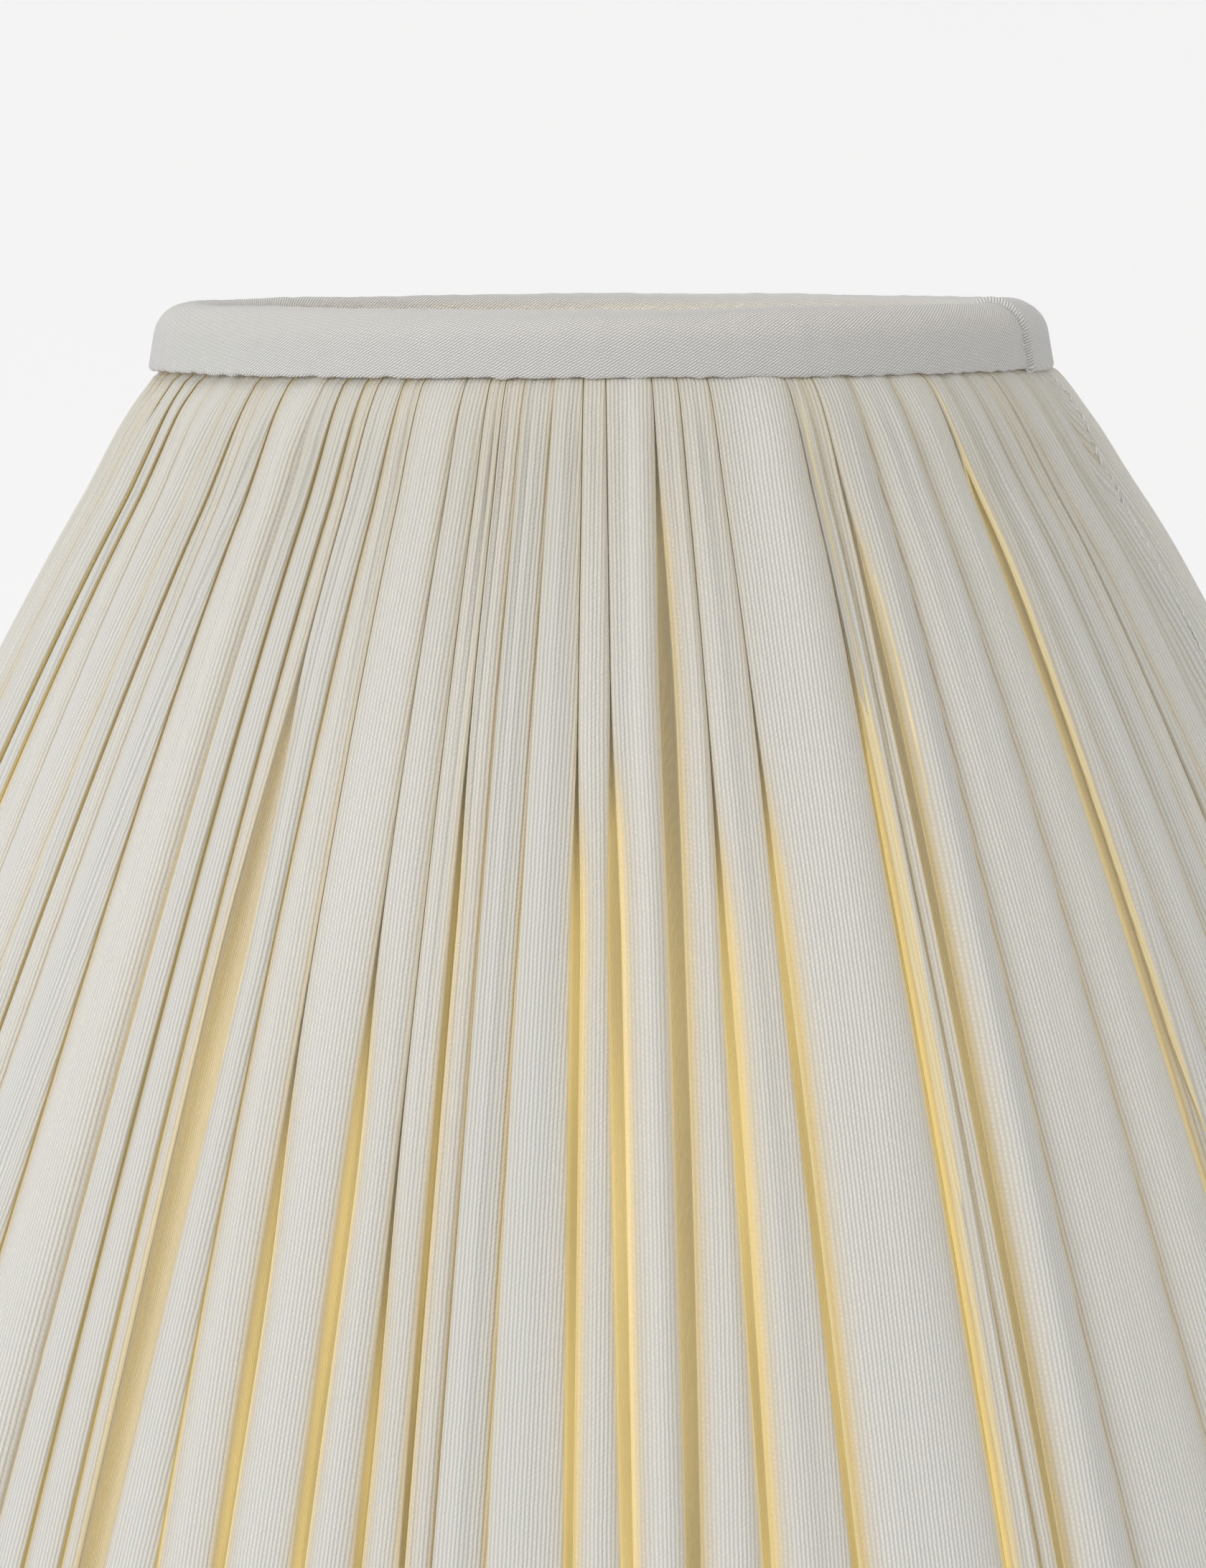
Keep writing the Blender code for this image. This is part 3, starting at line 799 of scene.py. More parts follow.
        # how much painted shade and painted glow each crease gets: more lower down, varying from crease to crease and
        # along each
        painted_glow_share = rng.uniform(0.25, 1.0, self.pleats)
        painted_glow_waves = [(rng.uniform(3.0, 9.0), rng.uniform(0.0, TURN)) for _ in range(self.pleats)]
        lower = smoothstep(0.04, 0.40, down)
        drifts = [0.6 + 0.4 * np.sin(rate * down + phase) for rate, phase in painted_glow_waves]
        crease_shade_and_glow = [0.34 + lower * (0.14 + 0.52 * painted_glow_share[k] * drifts[k]) for k in range(self.pleats)]
        emerge = smoothstep(0.0, 0.06, down)
        edges, gaps, plies, depths = [], [], [], []
        for k in range(self.pleats):
            wander = bend[k] * np.sin(math.pi * down) * (0.0 if openings[k] else 1.0)
            edges.append((upper[k] + (foot[k] - upper[k]) * down + wander) * radius)
            plies.append(self.ply * (0.75 + 0.85 * emerge * loft[k] * (0.55 + 0.45 * down)))
            spot = openings[k]
            if spot:
                grown = smoothstep(spot.start, spot.full, down) * (1.0 - 0.5 * smoothstep(0.93, 1.0, down))
                gaps.append(0.12 + spot.width * grown * (0.80 - 0.22 * smoothstep(0.45, 0.95, down)))
                depths.append(1.0 + spot.depth * grown)
            else:
                gaps.append((0.9 + 1.3 * down) * emerge + 0.1 if kinds[k] is Edge.EASED else np.zeros_like(down))
                depths.append((0.7 + 0.9 * down) * (0.3 + 0.7 * emerge))

        def at(k: int) -> np.ndarray:
            return edges[k % self.pleats] + (k // self.pleats) * TURN * radius

        def left(k: int) -> np.ndarray:
            return at(k) + gaps[k % self.pleats] / 2.0

        def right(k: int) -> np.ndarray:
            return at(k + 1) - gaps[(k + 1) % self.pleats] / 2.0

        def surface(k: int, x: np.ndarray, deep: int = 3) -> np.ndarray:
            """Return the height of pleat k's cloth at x, on under its neighbours where it runs below them."""
            here, after = kinds[k % self.pleats], kinds[(k + 1) % self.pleats]
            low = -2.0 * plies[k % self.pleats] if here is Edge.RIGHT_OVER else 0.0 * radius
            high = -2.0 * plies[(k + 1) % self.pleats] if after is Edge.LEFT_OVER else 0.0 * radius
            part = np.clip((x - left(k)) / (right(k) - left(k)), 0.0, 1.0)
            found = low + (high - low) * part
            if deep and here is Edge.RIGHT_OVER:
                found = np.where(x < left(k), surface(k - 1, x, deep - 1) - 2.0 * plies[k % self.pleats], found)
            if deep and after is Edge.LEFT_OVER:
                found = np.where(x > right(k), surface(k + 1, x, deep - 1) - 2.0 * plies[(k + 1) % self.pleats], found)
            return found

        laid: list[list[np.ndarray]] = [[], [], [], [], []]
        starts: list[int] = []

        def put(*values: np.ndarray | float) -> None:
            """Lay one column: place round, height, cloth distance, painted shade and glow mask, and tone with painted
            shade.
            """
            for column, value in zip(laid, values):
                column.append(value + np.zeros_like(down))

        for k in range(self.pleats):
            before, after = kinds[k], kinds[(k + 1) % self.pleats]
            ply, next_ply = plies[k], plies[(k + 1) % self.pleats]
            xl, xr = left(k), right(k)
            wide = xr - xl
            starts.append(len(laid[0]))
            full = rng.uniform(*self.fullness)
            puff = full * (1.0 - np.exp(-wide * rng.uniform(0.16, 0.32) / full)) * (0.40 + 0.60 * emerge)
            square = rng.uniform(*self.squareness)
            tilt = rng.normal(0.0, 0.05) * wide * emerge
            lean = {Edge.LEFT_OVER: rng.uniform(0.36, 0.5)}.get(before, rng.uniform(0.46, 0.66))
            tone_and_painted_shade = rng.uniform(0.0, 1.0)
            offset = k * self.cloth_step + rng.uniform(0.0, 0.0006)
            if before in (Edge.OPEN, Edge.EASED) and laid[2]:
                offset = float(laid[2][-1].mean())
            anchor = xr if before is Edge.RIGHT_OVER else xl
            end = offset + (xr - anchor) * MM
            ripple = [[rng.uniform(*ends) for ends in ranges] for ranges in RIPPLES]
            drift = 0.22 * np.sin(down * rng.uniform(5.0, 11.0) + rng.uniform(0.0, TURN)) * emerge
            for t in FACE_PLACES:
                x = xl + wide * t
                bow = 1.0 - abs(2.0 * t ** (math.log(0.5) / math.log(lean)) - 1.0) ** square
                y = surface(k, x) + puff * bow + tilt * (t - 0.5) * bow + drift * bow
                for centre, span, depth, fade in ripple:
                    y = y - depth * np.exp(-((t - centre) / span) ** 2) * np.exp(-down / fade) * (0.3 + 0.7 * emerge)
                from_left, from_right = wide * t, wide * (1.0 - t)
                # painted shade and glow across the face, strongest at its creases
                left_share = 1.0 if before is Edge.RIGHT_OVER else 0.4
                right_share = {Edge.LEFT_OVER: 1.0, Edge.OPEN: 0.9}.get(after, 0.45)
                shade = crease_shade_and_glow[k] * (0.95 * np.exp(-from_left / 0.7) + 0.08 * np.exp(-from_left / 2.6)) * left_share
                shade = shade + (crease_shade_and_glow[(k + 1) % self.pleats] * right_share
                                 * (0.8 * np.exp(-from_right / 0.8) + 0.1 * np.exp(-from_right / 2.6)))
                near = np.exp(-from_left / 1.7) + 0.7 * np.exp(-from_right / 1.7)
                shade = shade + 0.10 * (1.0 - smoothstep(0.03, 0.20, down)) * near
                # painted shade: darker cloth near the creases at the top, where the gathers are packed, carried with
                # the pleat's tone
                painted_crowd_shade = 3.2 * (1.0 - smoothstep(0.03, 0.34, down)) * (0.35 + near)
                # beside an opening the face's edge drops and takes painted glow
                if before is Edge.OPEN:
                    parted = smoothstep(0.2, 1.5, gaps[k]) * np.exp(-(from_left / 1.5) ** 1.3)
                    y = y - 0.62 * depths[k] * parted
                    shade = shade + 0.8 * openings[k].painted_warmth * parted
                if t == 1.0 and after in (Edge.RIGHT_OVER, Edge.OPEN):
                    x, y = x - 0.15 * next_ply, y - 0.15 * next_ply
                if t == 0.0 and before in (Edge.LEFT_OVER, Edge.OPEN):
                    x, y = x + 0.15 * ply, y - 0.15 * ply
                put(x, y, offset + (x - anchor) * MM, shade, np.minimum(tone_and_painted_shade + painted_crowd_shade, 5.0))
            room = self.cloth_per_pleat - wide
            spare = np.clip(room / 2.0, 0.9, None)

            def under(x: np.ndarray, y: np.ndarray, cloth: np.ndarray, hollow: float | np.ndarray = 0.7,
                      end: np.ndarray = end, tone_and_painted_shade: float = tone_and_painted_shade) -> None:
                """Lay one column of the cloth that runs on below the face; its mask gives the cavities under the faces
                painted shade and a soft painted glow.
                """
                put(x, y, end + cloth * MM, hollow, tone_and_painted_shade)

            # a tuck's columns carry painted shade and glow, partly a share of the crease's own
            def tuck(j: int, crease: np.ndarray, way: float, reach: np.ndarray, h: np.ndarray = next_ply,
                     side: np.ndarray = 0.3 + 0.7 * crease_shade_and_glow[(k + 1) % self.pleats]) -> None:
                """Lay a tuck under pleat j: to the left (-1) from its crease in, or to the right (1) back out."""
                for share, past, layer, slack_in, slack_out, tone, shows in TUCK if way < 0.0 else TUCK[::-1]:
                    place = crease + way * reach * share
                    travelled = 2.0 - share if (layer >= 2.0) == (way < 0.0) else share
                    cloth = reach * travelled + (slack_in if way < 0.0 else slack_out) * h
                    under(place + way * past * h, surface(j, place) - layer * h, cloth, tone * side if shows else tone)

            if after is Edge.RIGHT_OVER:
                tuck(k, xr, -1.0, spare if before is Edge.RIGHT_OVER else np.minimum(spare, 0.85 * wide))
            elif after is Edge.LEFT_OVER:
                far = right(k + 1) - left(k + 1)
                most = 1.2 if kinds[(k + 2) % self.pleats] is Edge.LEFT_OVER else 0.85
                tuck(k + 1, left(k + 1), 1.0, np.minimum(spare, most * far))
            elif after is Edge.OPEN:
                gap, depth = gaps[(k + 1) % self.pleats], depths[(k + 1) % self.pleats]
                parted = smoothstep(0.2, 1.5, gap)
                # painted glow in the open hollow, stronger lower down and flickering along it
                flicker = 0.86 + 0.14 * np.sin(down * 17.0 + 2.3 * k) * np.sin(down * 7.0 + k)
                painted_warmth = openings[(k + 1) % self.pleats].painted_warmth
                painted_glow_seen = parted * (0.45 + 0.55 * smoothstep(0.10, 0.45, down)) * painted_warmth * flicker
                lip = 0.10 + 0.52 * parted
                for f, d, to_lip, cloth, glow in HOLLOW:
                    under(at(k + 1) + f * gap, -depth * (d + to_lip * lip), cloth * depth + f * gap,
                          glow * (0.30 + 0.70 * painted_glow_seen))
            else:
                gap, depth = gaps[(k + 1) % self.pleats], depths[(k + 1) % self.pleats]
                # painted shade and glow along the soft hollow
                for f in np.linspace(-0.45, 0.45, 10):
                    dip = math.cos(math.pi * f) ** 1.5
                    under(at(k + 1) + f * gap, -depth * dip, (f + 0.5) * gap, 0.8 * crease_shade_and_glow[(k + 1) % self.pleats] * dip)
        return (*(np.stack(column, 1) for column in laid), starts)

    def build(self, material: Material) -> list[Object]:
        """Make the cover as four lengths of cloth that meet inside a fold."""
        place, radius, height = self.profile()
        x, y, u, hollow, tone_and_painted_shade, starts = self.sections()
        angle = x / radius[:, None]
        down = np.clip(place, 0.0, 1.0)[:, None]
        ridge = np.zeros_like(angle)
        for n in range(STRUT_COUNT):
            centre = seam_angle(down) if n == 0 else STRUT_START + n * TURN / STRUT_COUNT
            off = (angle - centre + math.pi) % TURN - math.pi
            high, span = (self.join_ridge, 1.1) if n == 0 else (self.strut_ridge, 2.2)
            ridge += high * np.exp(-(off * radius[:, None] / span) ** 2) * smoothstep(0.0, 0.03, down)
        sink = self.draw_in * smoothstep(0.0, 0.09, down) * (1.0 - 0.6 * smoothstep(0.8, 1.0, down))
        lean = np.where(np.sin(angle) < 0.0, smoothstep(-0.02, 0.012, down), smoothstep(0.0, 0.14, down))
        belly = self.belly * np.sin(angle) * lean * (1.0 - smoothstep(0.7, 1.0, down))
        y = y * (0.75 + 0.25 * smoothstep(0.0, 0.05, down)) - sink + belly + ridge * (1.0 - smoothstep(0.9, 1.0, down))
        y = y * (1.0 - self.pressed * smoothstep(self.pressed_from, 1.0, down))
        points = off_the_side(radius[:, None], height[:, None], y, angle)
        cloth = lengths_along(np.stack([radius, height], 1))[:, None] * MM
        uv = np.stack([u, np.broadcast_to(cloth, u.shape)], -1)
        made = []
        share = self.pleats // self.panels
        for n in range(self.panels):
            first = starts[n * share]
            last = starts[(n + 1) * share] if n < self.panels - 1 else x.shape[1]
            wrapped = np.arange(first, last + 1) % x.shape[1]
            piece = strip_mesh(f"cover_length_{n + 1}", points[:, wrapped], uv[:, wrapped],
                               {"hollow": np.clip(hollow[:, wrapped], 0, 1), "tone_and_painted_shade": tone_and_painted_shade[:, wrapped]})
            keep(piece, material, "gathered_cloth", "gathered_cover")
            made.append(piece)
        return made


@dataclass
class BiasBinding:
    """A strip of bias twill folded over a ring, with both its long edges turned in."""

    name: str
    node: str
    line: list[tuple[float, float]]
    lip: tuple[float, float]
    rests_on: list[str]
    columns: int = 420
    plump: float = 0.22
    edge_ripple: float = 0.16
    lip_width: float = 1.2
    seed: int = 5
    cut_width: float = 0.032

    def build(self, material: Material) -> Object:
        """Make the binding from its section, with the small swells that the gathers under it raise."""
        line = finer(self.line, LINE_STEP)
        along, normal = lengths_along(line), normals(line)
        angle = np.linspace(0.0, TURN, self.columns, endpoint=False)
        body = np.sin(math.pi * np.clip(along / along[-1], 0, 1))[:, None] ** 0.5
        puff = self.plump * body * (0.7 + 0.5 * waves(angle, [3, 5, 9, 14], self.seed))
        small = 0.05 * body * waves(angle, [38, 57, 71, 96], self.seed + 1)
        lip = int(np.argmin(np.linalg.norm(line - np.array(self.lip), axis=1)))
        near_lip = np.exp(-((along - along[lip]) / self.lip_width) ** 2)[:, None]
        edge = near_lip * self.edge_ripple * waves(angle, [31, 62, 88, 104, 133], self.seed + 2)
        radius = line[:, :1] + normal[:, :1] * (puff + small)
        height = line[:, 1:] + normal[:, 1:] * (puff + small) + edge
        points = round_the_shade(radius, height, angle)
        reach = float(line[:, 0].max())
        u = np.append(angle, TURN) * reach * MM
        uv = np.stack(np.broadcast_arrays(u[None, :], along[:, None] * MM), -1)
        piece = strip_mesh(self.name, points, uv, closed=True)
        keep(piece, material, "binding", self.node)
        return piece


def top_binding_line() -> list[tuple[float, float]]:
    """Return the top binding's section, from its inside edge over the ring to its turned-in outer edge."""
    inner = [(67.3, 266.6), (67.62, 266.9), (67.55, 267.6), (66.6, 271.4)]
    over = arc((69.318, 273.681), 3.4, 180.0, 90.0, 9) + arc((69.318, 271.105), 5.976, 90.0, 8.0, 13)[1:]
    outer = [(76.02, 267.3), (76.15, 266.6), (76.02, 266.25), (75.72, 266.17), (75.5, 266.45), (75.3, 267.6),
             (74.9, 269.5)]
    return inner + over + outer


def bottom_binding_line() -> list[tuple[float, float]]:
    """Return the bottom binding's section, from its outer edge round the ring to its inside edge."""
    outer = [(200.4, 9.2), (199.35, 11.5), (199.45, 11.95), (199.75, 12.1), (200.0, 11.7)]
    corner = arc((199.2, 4.0), 4.0, 24.0, -90.0, 12)
    inner = arc((197.2, 3.4), 3.4, -90.0, -154.0, 8)
    rest = [(192.66, 5.0), (191.2, 8.2), (191.3, 8.7), (191.7, 8.6)]
    return outer + corner + inner + rest


@dataclass
class BindingJoin:
    """The end of the top binding, folded under and laid over the start of the strip."""

    line: list[tuple[float, float]]
    centre: float = STRUT_START
    width: float = 14.0
    lift: float = 0.62
    tucked: float = 0.12       # how far its sides sink into the binding below
    edge_round: float = 0.7
    fold_height: float = 0.35  # the ridge of the folded-under end
    plump: float = 0.30
    skew: float = 0.010        # radians from its top to its bottom
    inmost: float = 66.2       # no further in than this radius
    skipped: int = 6           # points left out at the inside edge
    columns: int = 46

    def build(self, material: Material) -> Object:
        """Make the overlapping end as a thin patch over the binding, rounded at its folded edge."""
        line = finer(self.line, LINE_STEP)
        line = line[(line[:, 0] > self.inmost) & (np.arange(len(line)) > self.skipped)]
        along, normal = lengths_along(line), normals(line)
        half = self.width / 2.0 / RIM_RADIUS
        t = np.linspace(-1.0, 1.0, self.columns)
        t = np.sign(t) * np.abs(t) ** 0.7
        near = (1.0 - np.abs(t)) * half * RIM_RADIUS
        round_edge = np.sqrt(np.clip(1.0 - (1.0 - np.clip(near / self.edge_round, 0, 1)) ** 2, 0, 1))
        fold = self.fold_height * np.exp(-((t + 0.90) / 0.10) ** 2) * (near > 0.3)
        rise = self.lift * round_edge - self.tucked + fold
        down = along / along[-1]
        plump = self.plump * np.sin(math.pi * np.clip(down, 0, 1)) ** 0.5
        off = rise[None, :] + plump[:, None]
        turned = (self.centre + half * t)[None, :] + (self.skew * (down - 0.5))[:, None]
        points = round_the_shade(line[:, :1] + normal[:, :1] * off, line[:, 1:] + normal[:, 1:] * off, turned)
        uv = np.stack(np.broadcast_arrays((turned - 0.4) * RIM_RADIUS * MM, along[:, None] * MM), -1)
        piece = strip_mesh("top_binding_end", points, uv)
        keep(piece, material, "binding", "top_binding_join")
        return piece


@dataclass
class Lining:
    """The lining: light cloth stretched over the inside of the struts."""

    top: tuple[float, float] = (67.28, 270.0)
    bottom: tuple[float, float] = (194.4, 5.0)
    rows: int = 70
    columns: int = 320
    hollow: float = 0.7
    pucker: float = 0.16
    slack: float = 0.22

    def build(self, material: Material) -> Object:
        """Make the lining, drawn a little flat between the struts and puckered where it is sewn."""
        t = np.linspace(0.0, 1.0, self.rows)
        radius = self.top[0] + (self.bottom[0] - self.top[0]) * t
        height = self.top[1] + (self.bottom[1] - self.top[1]) * t
        angle = np.linspace(0.0, TURN, self.columns, endpoint=False)
        taut = np.abs(np.sin((angle - STRUT_START) * STRUT_COUNT / 2.0)) ** 1.3
        ease = np.sin(math.pi * t)
        sewn = (np.exp(-t / 0.05) + np.exp(-(1 - t) / 0.04))[:, None]
        pucker = self.pucker * waves(angle, [47, 68, 90, 113], 31) * sewn
        slack = self.slack * ease[:, None] * waves(angle, [8, 13, 21], 12)
        off = -self.hollow * taut * ease[:, None] + pucker + slack
        points = off_the_side(radius[:, None], height[:, None], off, angle)
        along = lengths_along(np.stack([radius, height], 1)) * MM
        uv = np.stack(np.broadcast_arrays(np.append(angle, TURN)[None, :] * 0.13, along[:, None]), -1)
        piece = strip_mesh("lining_cloth", points, uv, closed=True)
        keep(piece, material, "lining", "lining")
        return piece


def stitch_tree(thread: Material) -> tuple[bpy.types.NodeTree, dict[str, str]]:
    """Build a tree that lays slanting stitches along a line of points.

    Args:
        thread: the thread's finish.

    Returns:
        The tree, and the identifier of each named input.
    """
    tree = bpy.data.node_groups.new("Overcast stitches", "GeometryNodeTree")
    found = {}
    tree.interface.new_socket("Geometry", in_out="INPUT", socket_type="NodeSocketGeometry")
    for key, kind, value in (("Spacing", "Float", 0.004), ("Length", "Float", 0.003), ("Thread", "Float", 0.0002),
                             ("Slant", "Float", 0.9), ("Seed", "Int", 3)):
        socket = tree.interface.new_socket(key, in_out="INPUT", socket_type=f"NodeSocket{kind}")
        socket.default_value = value
        found[key] = socket.identifier
    tree.interface.new_socket("Geometry", in_out="OUTPUT", socket_type="NodeSocketGeometry")
    nodes = NodeSet(tree)
    into, out = nodes.add("NodeGroupInput"), nodes.add("NodeGroupOutput")
    given = into.outputs
    curve = nodes.fill(nodes.add("GeometryNodeMeshToCurve"), Mesh=given["Geometry"])
    spaced = nodes.fill(nodes.add("GeometryNodeResampleCurve", mode="LENGTH"), Curve=curve, Length=given["Spacing"])
    rod = nodes.fill(nodes.add("GeometryNodeMeshCylinder", fill_type="TRIANGLE_FAN"), Vertices=6, Side_Segments=4,
                     Radius=given["Thread"], Depth=given["Length"])
    part = nodes.sum("DIVIDE", nodes.parts(nodes.add("GeometryNodeInputPosition").outputs[0])[2], given["Length"])
    sink = nodes.sum("MULTIPLY", nodes.sum("MULTIPLY", part, part), nodes.sum("MULTIPLY", given["Thread"], -5.0))
    stitch = nodes.fill(nodes.add("GeometryNodeSetPosition"), Geometry=rod,
                        Offset=nodes.fill(nodes.add("ShaderNodeCombineXYZ"), X=sink))
    turned = nodes.fill(nodes.add("FunctionNodeAlignEulerToVector", axis="Z"),
                        Vector=nodes.add("GeometryNodeInputTangent").outputs[0])
    laid = nodes.fill(nodes.add("GeometryNodeInstanceOnPoints"), Points=spaced, Instance=stitch, Rotation=turned)
    vary = nodes.add("FunctionNodeRandomValue", data_type="FLOAT")
    plain = [socket for socket in vary.inputs if socket.name in ("Min", "Max") and socket.type == "VALUE"]
    plain[0].default_value, plain[1].default_value = -0.22, 0.22
    nodes.join(given["Seed"], vary.inputs["Seed"])
    slant = nodes.sum("ADD", given["Slant"], next(socket for socket in vary.outputs if socket.type == "VALUE"))
    tilted = nodes.fill(nodes.add("GeometryNodeRotateInstances"), Instances=laid,
                        Rotation=nodes.fill(nodes.add("ShaderNodeCombineXYZ"), X=slant))
    real = nodes.fill(nodes.add("GeometryNodeRealizeInstances"), Geometry=tilted)
    nodes.join(nodes.fill(nodes.add("GeometryNodeSetMaterial"), Geometry=real, Material=thread), out.inputs[0])
    return tree, found


@dataclass
class Stitching:
    """Rows of hand stitches, laid by one tree along lines on the shade."""

    tree: bpy.types.NodeTree
    inputs: dict[str, str]
    thread: Material
    away: float = 12.0  # where the search for the cover's surface starts, out from the side line

    def row(self, name: str, points: np.ndarray, closed: bool, **sizes: float) -> Object:
        """Lay one row of stitches.

        Args:
            name: the piece's name.
            points: the line the stitches follow, in millimetres.
            closed: whether the line closes on itself.
            sizes: the tree's inputs by name.

        Returns:
            The stitches as a plain mesh.
        """
        count = len(points)
        links = [(k, (k + 1) % count) for k in range(count if closed else count - 1)]
        mesh = bpy.data.meshes.new(name + "_line")
        mesh.from_pydata((points * MM).tolist(), links, [])
        line = add_object(name + "_line", mesh)
        modifier = line.modifiers.new("stitches", "NODES")
        modifier.node_group = self.tree
        for key, value in sizes.items():
            modifier[self.inputs[key]] = value
        graph = bpy.context.evaluated_depsgraph_get()
        made = bpy.data.meshes.new_from_object(line.evaluated_get(graph), depsgraph=graph)
        made.name = name
        bpy.data.objects.remove(line)
        piece = add_object(name, made)
        for polygon in made.polygons:
            polygon.use_smooth = True
        return keep(piece, self.thread, "binding")

    def seam(self, cloth: list[Object]) -> None:
        """Sew down the closing edge of the cover, which runs on down from the binding's join.

        Args:
            cloth: the lengths of the cover, which the stitches lie on.
        """
        place, radius, height = GatheredCover().profile()
        steps = np.linspace(0.012, 0.97, 150)
        radius, height = np.interp(steps, place, radius), np.interp(steps, place, height)
        angle, flat = seam_angle(steps), np.zeros(len(steps))
        outside = off_the_side(radius, height, self.away, angle) * MM
        outward = off_the_side(flat, flat, 1.0, angle)
        bpy.context.view_layer.update()
        stand = []
        for start, away_from in zip(outside, outward):
            found = [piece.ray_cast(Vector(start), -Vector(away_from), distance=0.02) for piece in cloth]
            near = [(Vector(start) - hit[1]).length for hit in found if hit[0]]
            stand.append(self.away - min(near) / MM if near else 0.0)
        evened = np.convolve(np.pad(stand, 2, mode="edge"), np.ones(5) / 5.0, "valid")
        line = off_the_side(radius, height, np.maximum(evened, stand) + 0.04, angle)
        self.row("cover_seam_stitches", line, False, Spacing=2.1 * MM, Length=1.3 * MM, Thread=0.14 * MM, Slant=0.25,
                 Seed=12)

    def build(self) -> None:
        """Sew the bindings to the lining inside, and the top binding's end down."""
        angle = np.linspace(0.0, TURN, 360, endpoint=False)
        for name, radius, height, sizes in (
                ("top_lining_stitches", 67.15, 266.55,
                 {"Spacing": 4.6 * MM, "Length": 3.4 * MM, "Thread": 0.22 * MM, "Seed": 3}),
                ("bottom_lining_stitches", 191.0, 8.9,
                 {"Spacing": 6.4 * MM, "Length": 4.2 * MM, "Thread": 0.24 * MM, "Seed": 8})):
            ring = round_the_shade(np.full(360, radius), np.full(360, height), angle)
            self.row(name, ring, True, Slant=0.85, **sizes)
        z = np.linspace(265.9, 272.2, 12)
        radius = 76.35 - (z - 265.1) * math.tan(math.radians(8.0))
        fold = STRUT_START - BindingJoin.width / 2.0 / RIM_RADIUS
        self.row("binding_end_stitches", round_the_shade(radius, z, np.full(12, fold)), False, Spacing=1.9 * MM,
                 Length=1.3 * MM, Thread=0.13 * MM, Slant=1.1, Seed=5)


@dataclass
class WireFrame:
    """The rings, struts and fitter, kept as they are made and finished as painted and plated wire."""

    painted: Material
    plated: Material
    taped: Material

    def dress(self) -> None:
        """Give each piece of the frame its finish."""
        finishes = {"top_ring": self.painted, "bottom_ring": self.painted, "fitter_hub": self.plated,
                    "top_ring_tape": self.taped, "bottom_ring_tape": self.taped}
        finishes.update({f"strut_{n}": self.painted for n in range(1, STRUT_COUNT + 1)})
        finishes.update({f"fitter_arm_{n}": self.painted for n in (1, 2, 3)})
        for name, material in finishes.items():
            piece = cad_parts[name]
            if not piece.material_slots:
                piece.data.materials.append(material)
            for place in piece.material_slots:
                place.material = material
            LOG.info("%s: %s", name, material.name)


@dataclass
class GlueSpot:
    """A small bead of dried glue under the end of the top binding."""

    angle: float = math.radians(73.6)

    def build(self, material: Material) -> Object:
        """Make the bead and the short run below it."""
        steps, sides = 26, 12
        t = np.linspace(0.0, 1.0, steps)
        z = 266.0 - 7.0 * t
        size = 0.55 * np.sin(math.pi * np.clip(t, 0.02, 0.98)) ** 0.5
        size = size * (1.0 + 0.5 * np.sin(9.0 * t + 1.0) * (1 - t)) * (1.15 - 0.6 * t)
        radius = RIM_RADIUS + (265.0 - z) * 0.62 + 0.3
        ring = np.linspace(0.0, TURN, sides, endpoint=False)
        out = size[:, None] * 0.55 * np.cos(ring)[None, :]
        across = -size[:, None] * np.sin(ring)[None, :]
        points = round_the_shade(radius[:, None] + out, z[:, None] + 0.25 * out, self.angle + across / radius[:, None])
        uv = np.zeros((steps, sides + 1, 2))
        piece = strip_mesh("glue_spot", points[:, ::-1], uv, closed=True)
        return keep(piece, material, "binding")


@dataclass(frozen=True)
class Softbox:
    """One large soft studio light."""

    name: str
    place: tuple[float, float, float]
    size: float
    watts: float
    colour: Colour = (1.0, 1.0, 1.0)


SOFTBOXES = (
    Softbox("key_softbox", (-2.0, -1.7, 1.1), 1.3, 32.0, (1.0, 0.995, 0.985)),
    Softbox("fill_softbox", (1.9, -1.5, 0.8), 1.3, 10.0, (1.0, 0.985, 0.955)),
    Softbox("overhead_softbox", (-0.3, 0.2, 1.9), 1.4, 12.0),
)


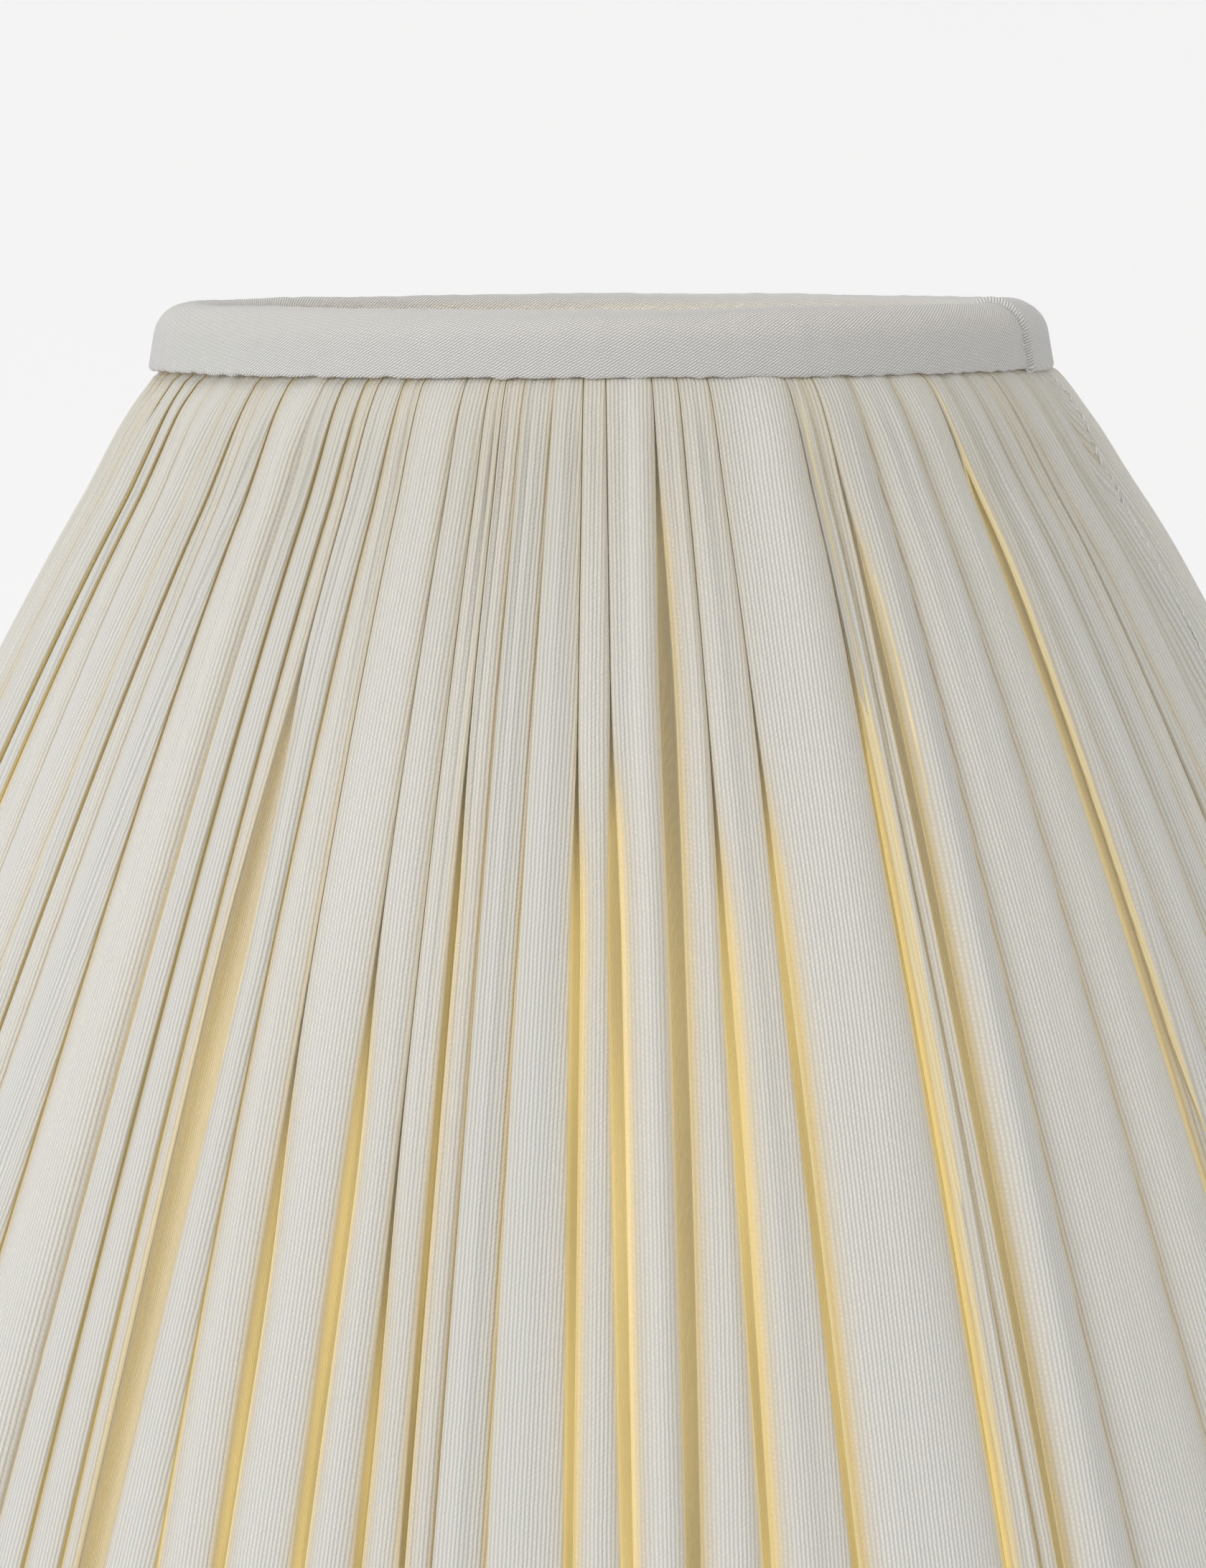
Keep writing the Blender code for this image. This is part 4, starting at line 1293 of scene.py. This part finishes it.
@dataclass
class Studio:
    """A pale sweep, soft lights, the lamp inside the shade and the camera."""

    aim_down: float = 3.7825
    distance: float = 1.7
    eye: float = 0.308
    lens: float = 231.3
    roll: float = -0.2
    lamp_watts: float = 0.62
    lamp_height: float = 0.135
    room_light: float = 0.46
    lit: tuple[float, float, float] = (0.0, 0.0, 0.16)  # where the softboxes point

    def sweep(self) -> None:
        """Make the floor and the backdrop as one curved sheet, which shows only from its own side."""
        bend = [(1.6 + 1.4 * math.sin(a), 1.4 - 1.4 * math.cos(a)) for a in np.radians(np.arange(6, 91, 6))]
        line = [(-9.0, 0.0), (-1.2, 0.0), (1.6, 0.0), *bend, (3.0, 3.4)]
        xs = np.linspace(-9.0, 9.0, 13)
        mesh = bpy.data.meshes.new("studio_sweep")
        verts = [(float(x), y, z - 0.0006) for y, z in line for x in xs]
        wide = len(xs)
        faces = [(r * wide + c, r * wide + c + 1, (r + 1) * wide + c + 1, (r + 1) * wide + c)
                 for r in range(len(line) - 1) for c in range(wide - 1)]
        mesh.from_pydata(verts, [], faces)
        for polygon in mesh.polygons:
            polygon.use_smooth = True
        material = bpy.data.materials.new("pale_paper")
        material.use_nodes = True
        nodes = NodeSet(material.node_tree)
        shader = material.node_tree.nodes["Principled BSDF"]
        here = nodes.object_place()
        behind = nodes.spread(nodes.parts(here)["Y"], -1.0, 0.4)
        nodes.fill(shader, Roughness=0.9, Emission_Strength=0.31,
                   Base_Color=nodes.blend(nodes.noise(here, Scale=3.0), (0.78, 0.78, 0.78), (0.80, 0.80, 0.80)),
                   Emission_Color=nodes.blend(behind, (0.3, 0.3, 0.3), (1.0, 1.0, 1.0)))
        clear = nodes.add("ShaderNodeBsdfTransparent")
        side = nodes.add("ShaderNodeMixShader")
        nodes.join(nodes.add("ShaderNodeNewGeometry").outputs["Backfacing"], side.inputs[0])
        nodes.join(shader.outputs[0], side.inputs[1])
        nodes.join(clear.outputs[0], side.inputs[2])
        nodes.join(side.outputs[0], material.node_tree.nodes["Material Output"].inputs[0])
        mesh.materials.append(material)
        add_object("studio_sweep", mesh)

    def lights(self) -> None:
        """Hang the softboxes, light the room evenly and put the lamp in the shade."""
        for box in SOFTBOXES:
            lamp = bpy.data.lights.new(box.name, "AREA")
            lamp.shape, lamp.size, lamp.energy, lamp.color = "SQUARE", box.size, box.watts, box.colour
            holder = add_object(box.name, lamp)
            holder.location = box.place
            holder.rotation_euler = (Vector(self.lit) - Vector(box.place)).to_track_quat("-Z", "Y").to_euler()
        bulb = bpy.data.lights.new("lamp_bulb", "POINT")
        bulb.energy, bulb.color, bulb.shadow_soft_size = self.lamp_watts, (1.0, 0.89, 0.60), 0.03
        add_object("lamp_bulb", bulb).location = (0.0, 0.0, self.lamp_height)
        world = bpy.data.worlds.new("studio_room")
        world.use_nodes = True
        NodeSet(world.node_tree).fill(world.node_tree.nodes["Background"], Color=(1.0, 1.0, 1.0),
                                      Strength=self.room_light)
        bpy.context.scene.world = world

    def camera(self) -> None:
        """Set up the camera in front of the shade, just above its rim."""
        data = bpy.data.cameras.new("shade_camera")
        data.lens, data.sensor_width, data.clip_start, data.clip_end = self.lens, 36.0, 0.05, 20.0
        data.dof.use_dof = False
        camera = add_object("shade_camera", data)
        down = Matrix.Rotation(math.radians(90.0 - self.aim_down), 4, "X")
        turn = down @ Matrix.Rotation(math.radians(self.roll), 4, "Z")
        camera.matrix_world = Matrix.Translation((0.0, -self.distance, self.eye)) @ turn
        bpy.context.scene.camera = camera

    def build(self) -> None:
        """Set up the whole studio."""
        self.sweep()
        self.lights()
        self.camera()
        bpy.context.scene.view_settings.view_transform = "Standard"


# ----------------------------------------------------------------------------------------------- main


def plain(box: tuple[Vector, Vector]) -> list[list[float]]:
    """Return a box's two corners as plain lists."""
    return [[float(number) for number in corner] for corner in box]


def main() -> None:
    """Build and dress every piece of the shade, then the studio round it."""
    logging.basicConfig(level=logging.INFO, format="%(name)s %(message)s")
    shop = Workshop()
    cloth, twill, lining = CoverCloth().build(shop), TwillTape().build(shop), LiningCloth().build(shop)
    thread, glue = SewingThread().build(shop), DriedGlue().build(shop)
    painted = CoatedWire().build(shop)
    plated = CoatedWire("plated_steel", (0.62, 0.61, 0.58), (0.40, 0.36, 0.30), 1.0, 0.28, 0.22).build(shop)
    WireFrame(painted, plated, WoundTape().build(shop)).dress()
    Lining().build(lining)
    cover = GatheredCover().build(cloth)
    BiasBinding("top_bias_binding", "top_binding", top_binding_line(), (76.02, 266.25), ["top_ring_tape"]).build(twill)
    BiasBinding("bottom_bias_binding", "bottom_binding", bottom_binding_line(), (199.75, 12.1), ["bottom_ring_tape"],
                columns=840, seed=17).build(twill)
    BindingJoin(top_binding_line()).build(twill)
    tree, inputs = stitch_tree(thread)
    sewing = Stitching(tree, inputs, thread)
    sewing.build()
    sewing.seam(cover)
    GlueSpot().build(glue)
    Studio().build()


if __name__ == "__main__":
    main()
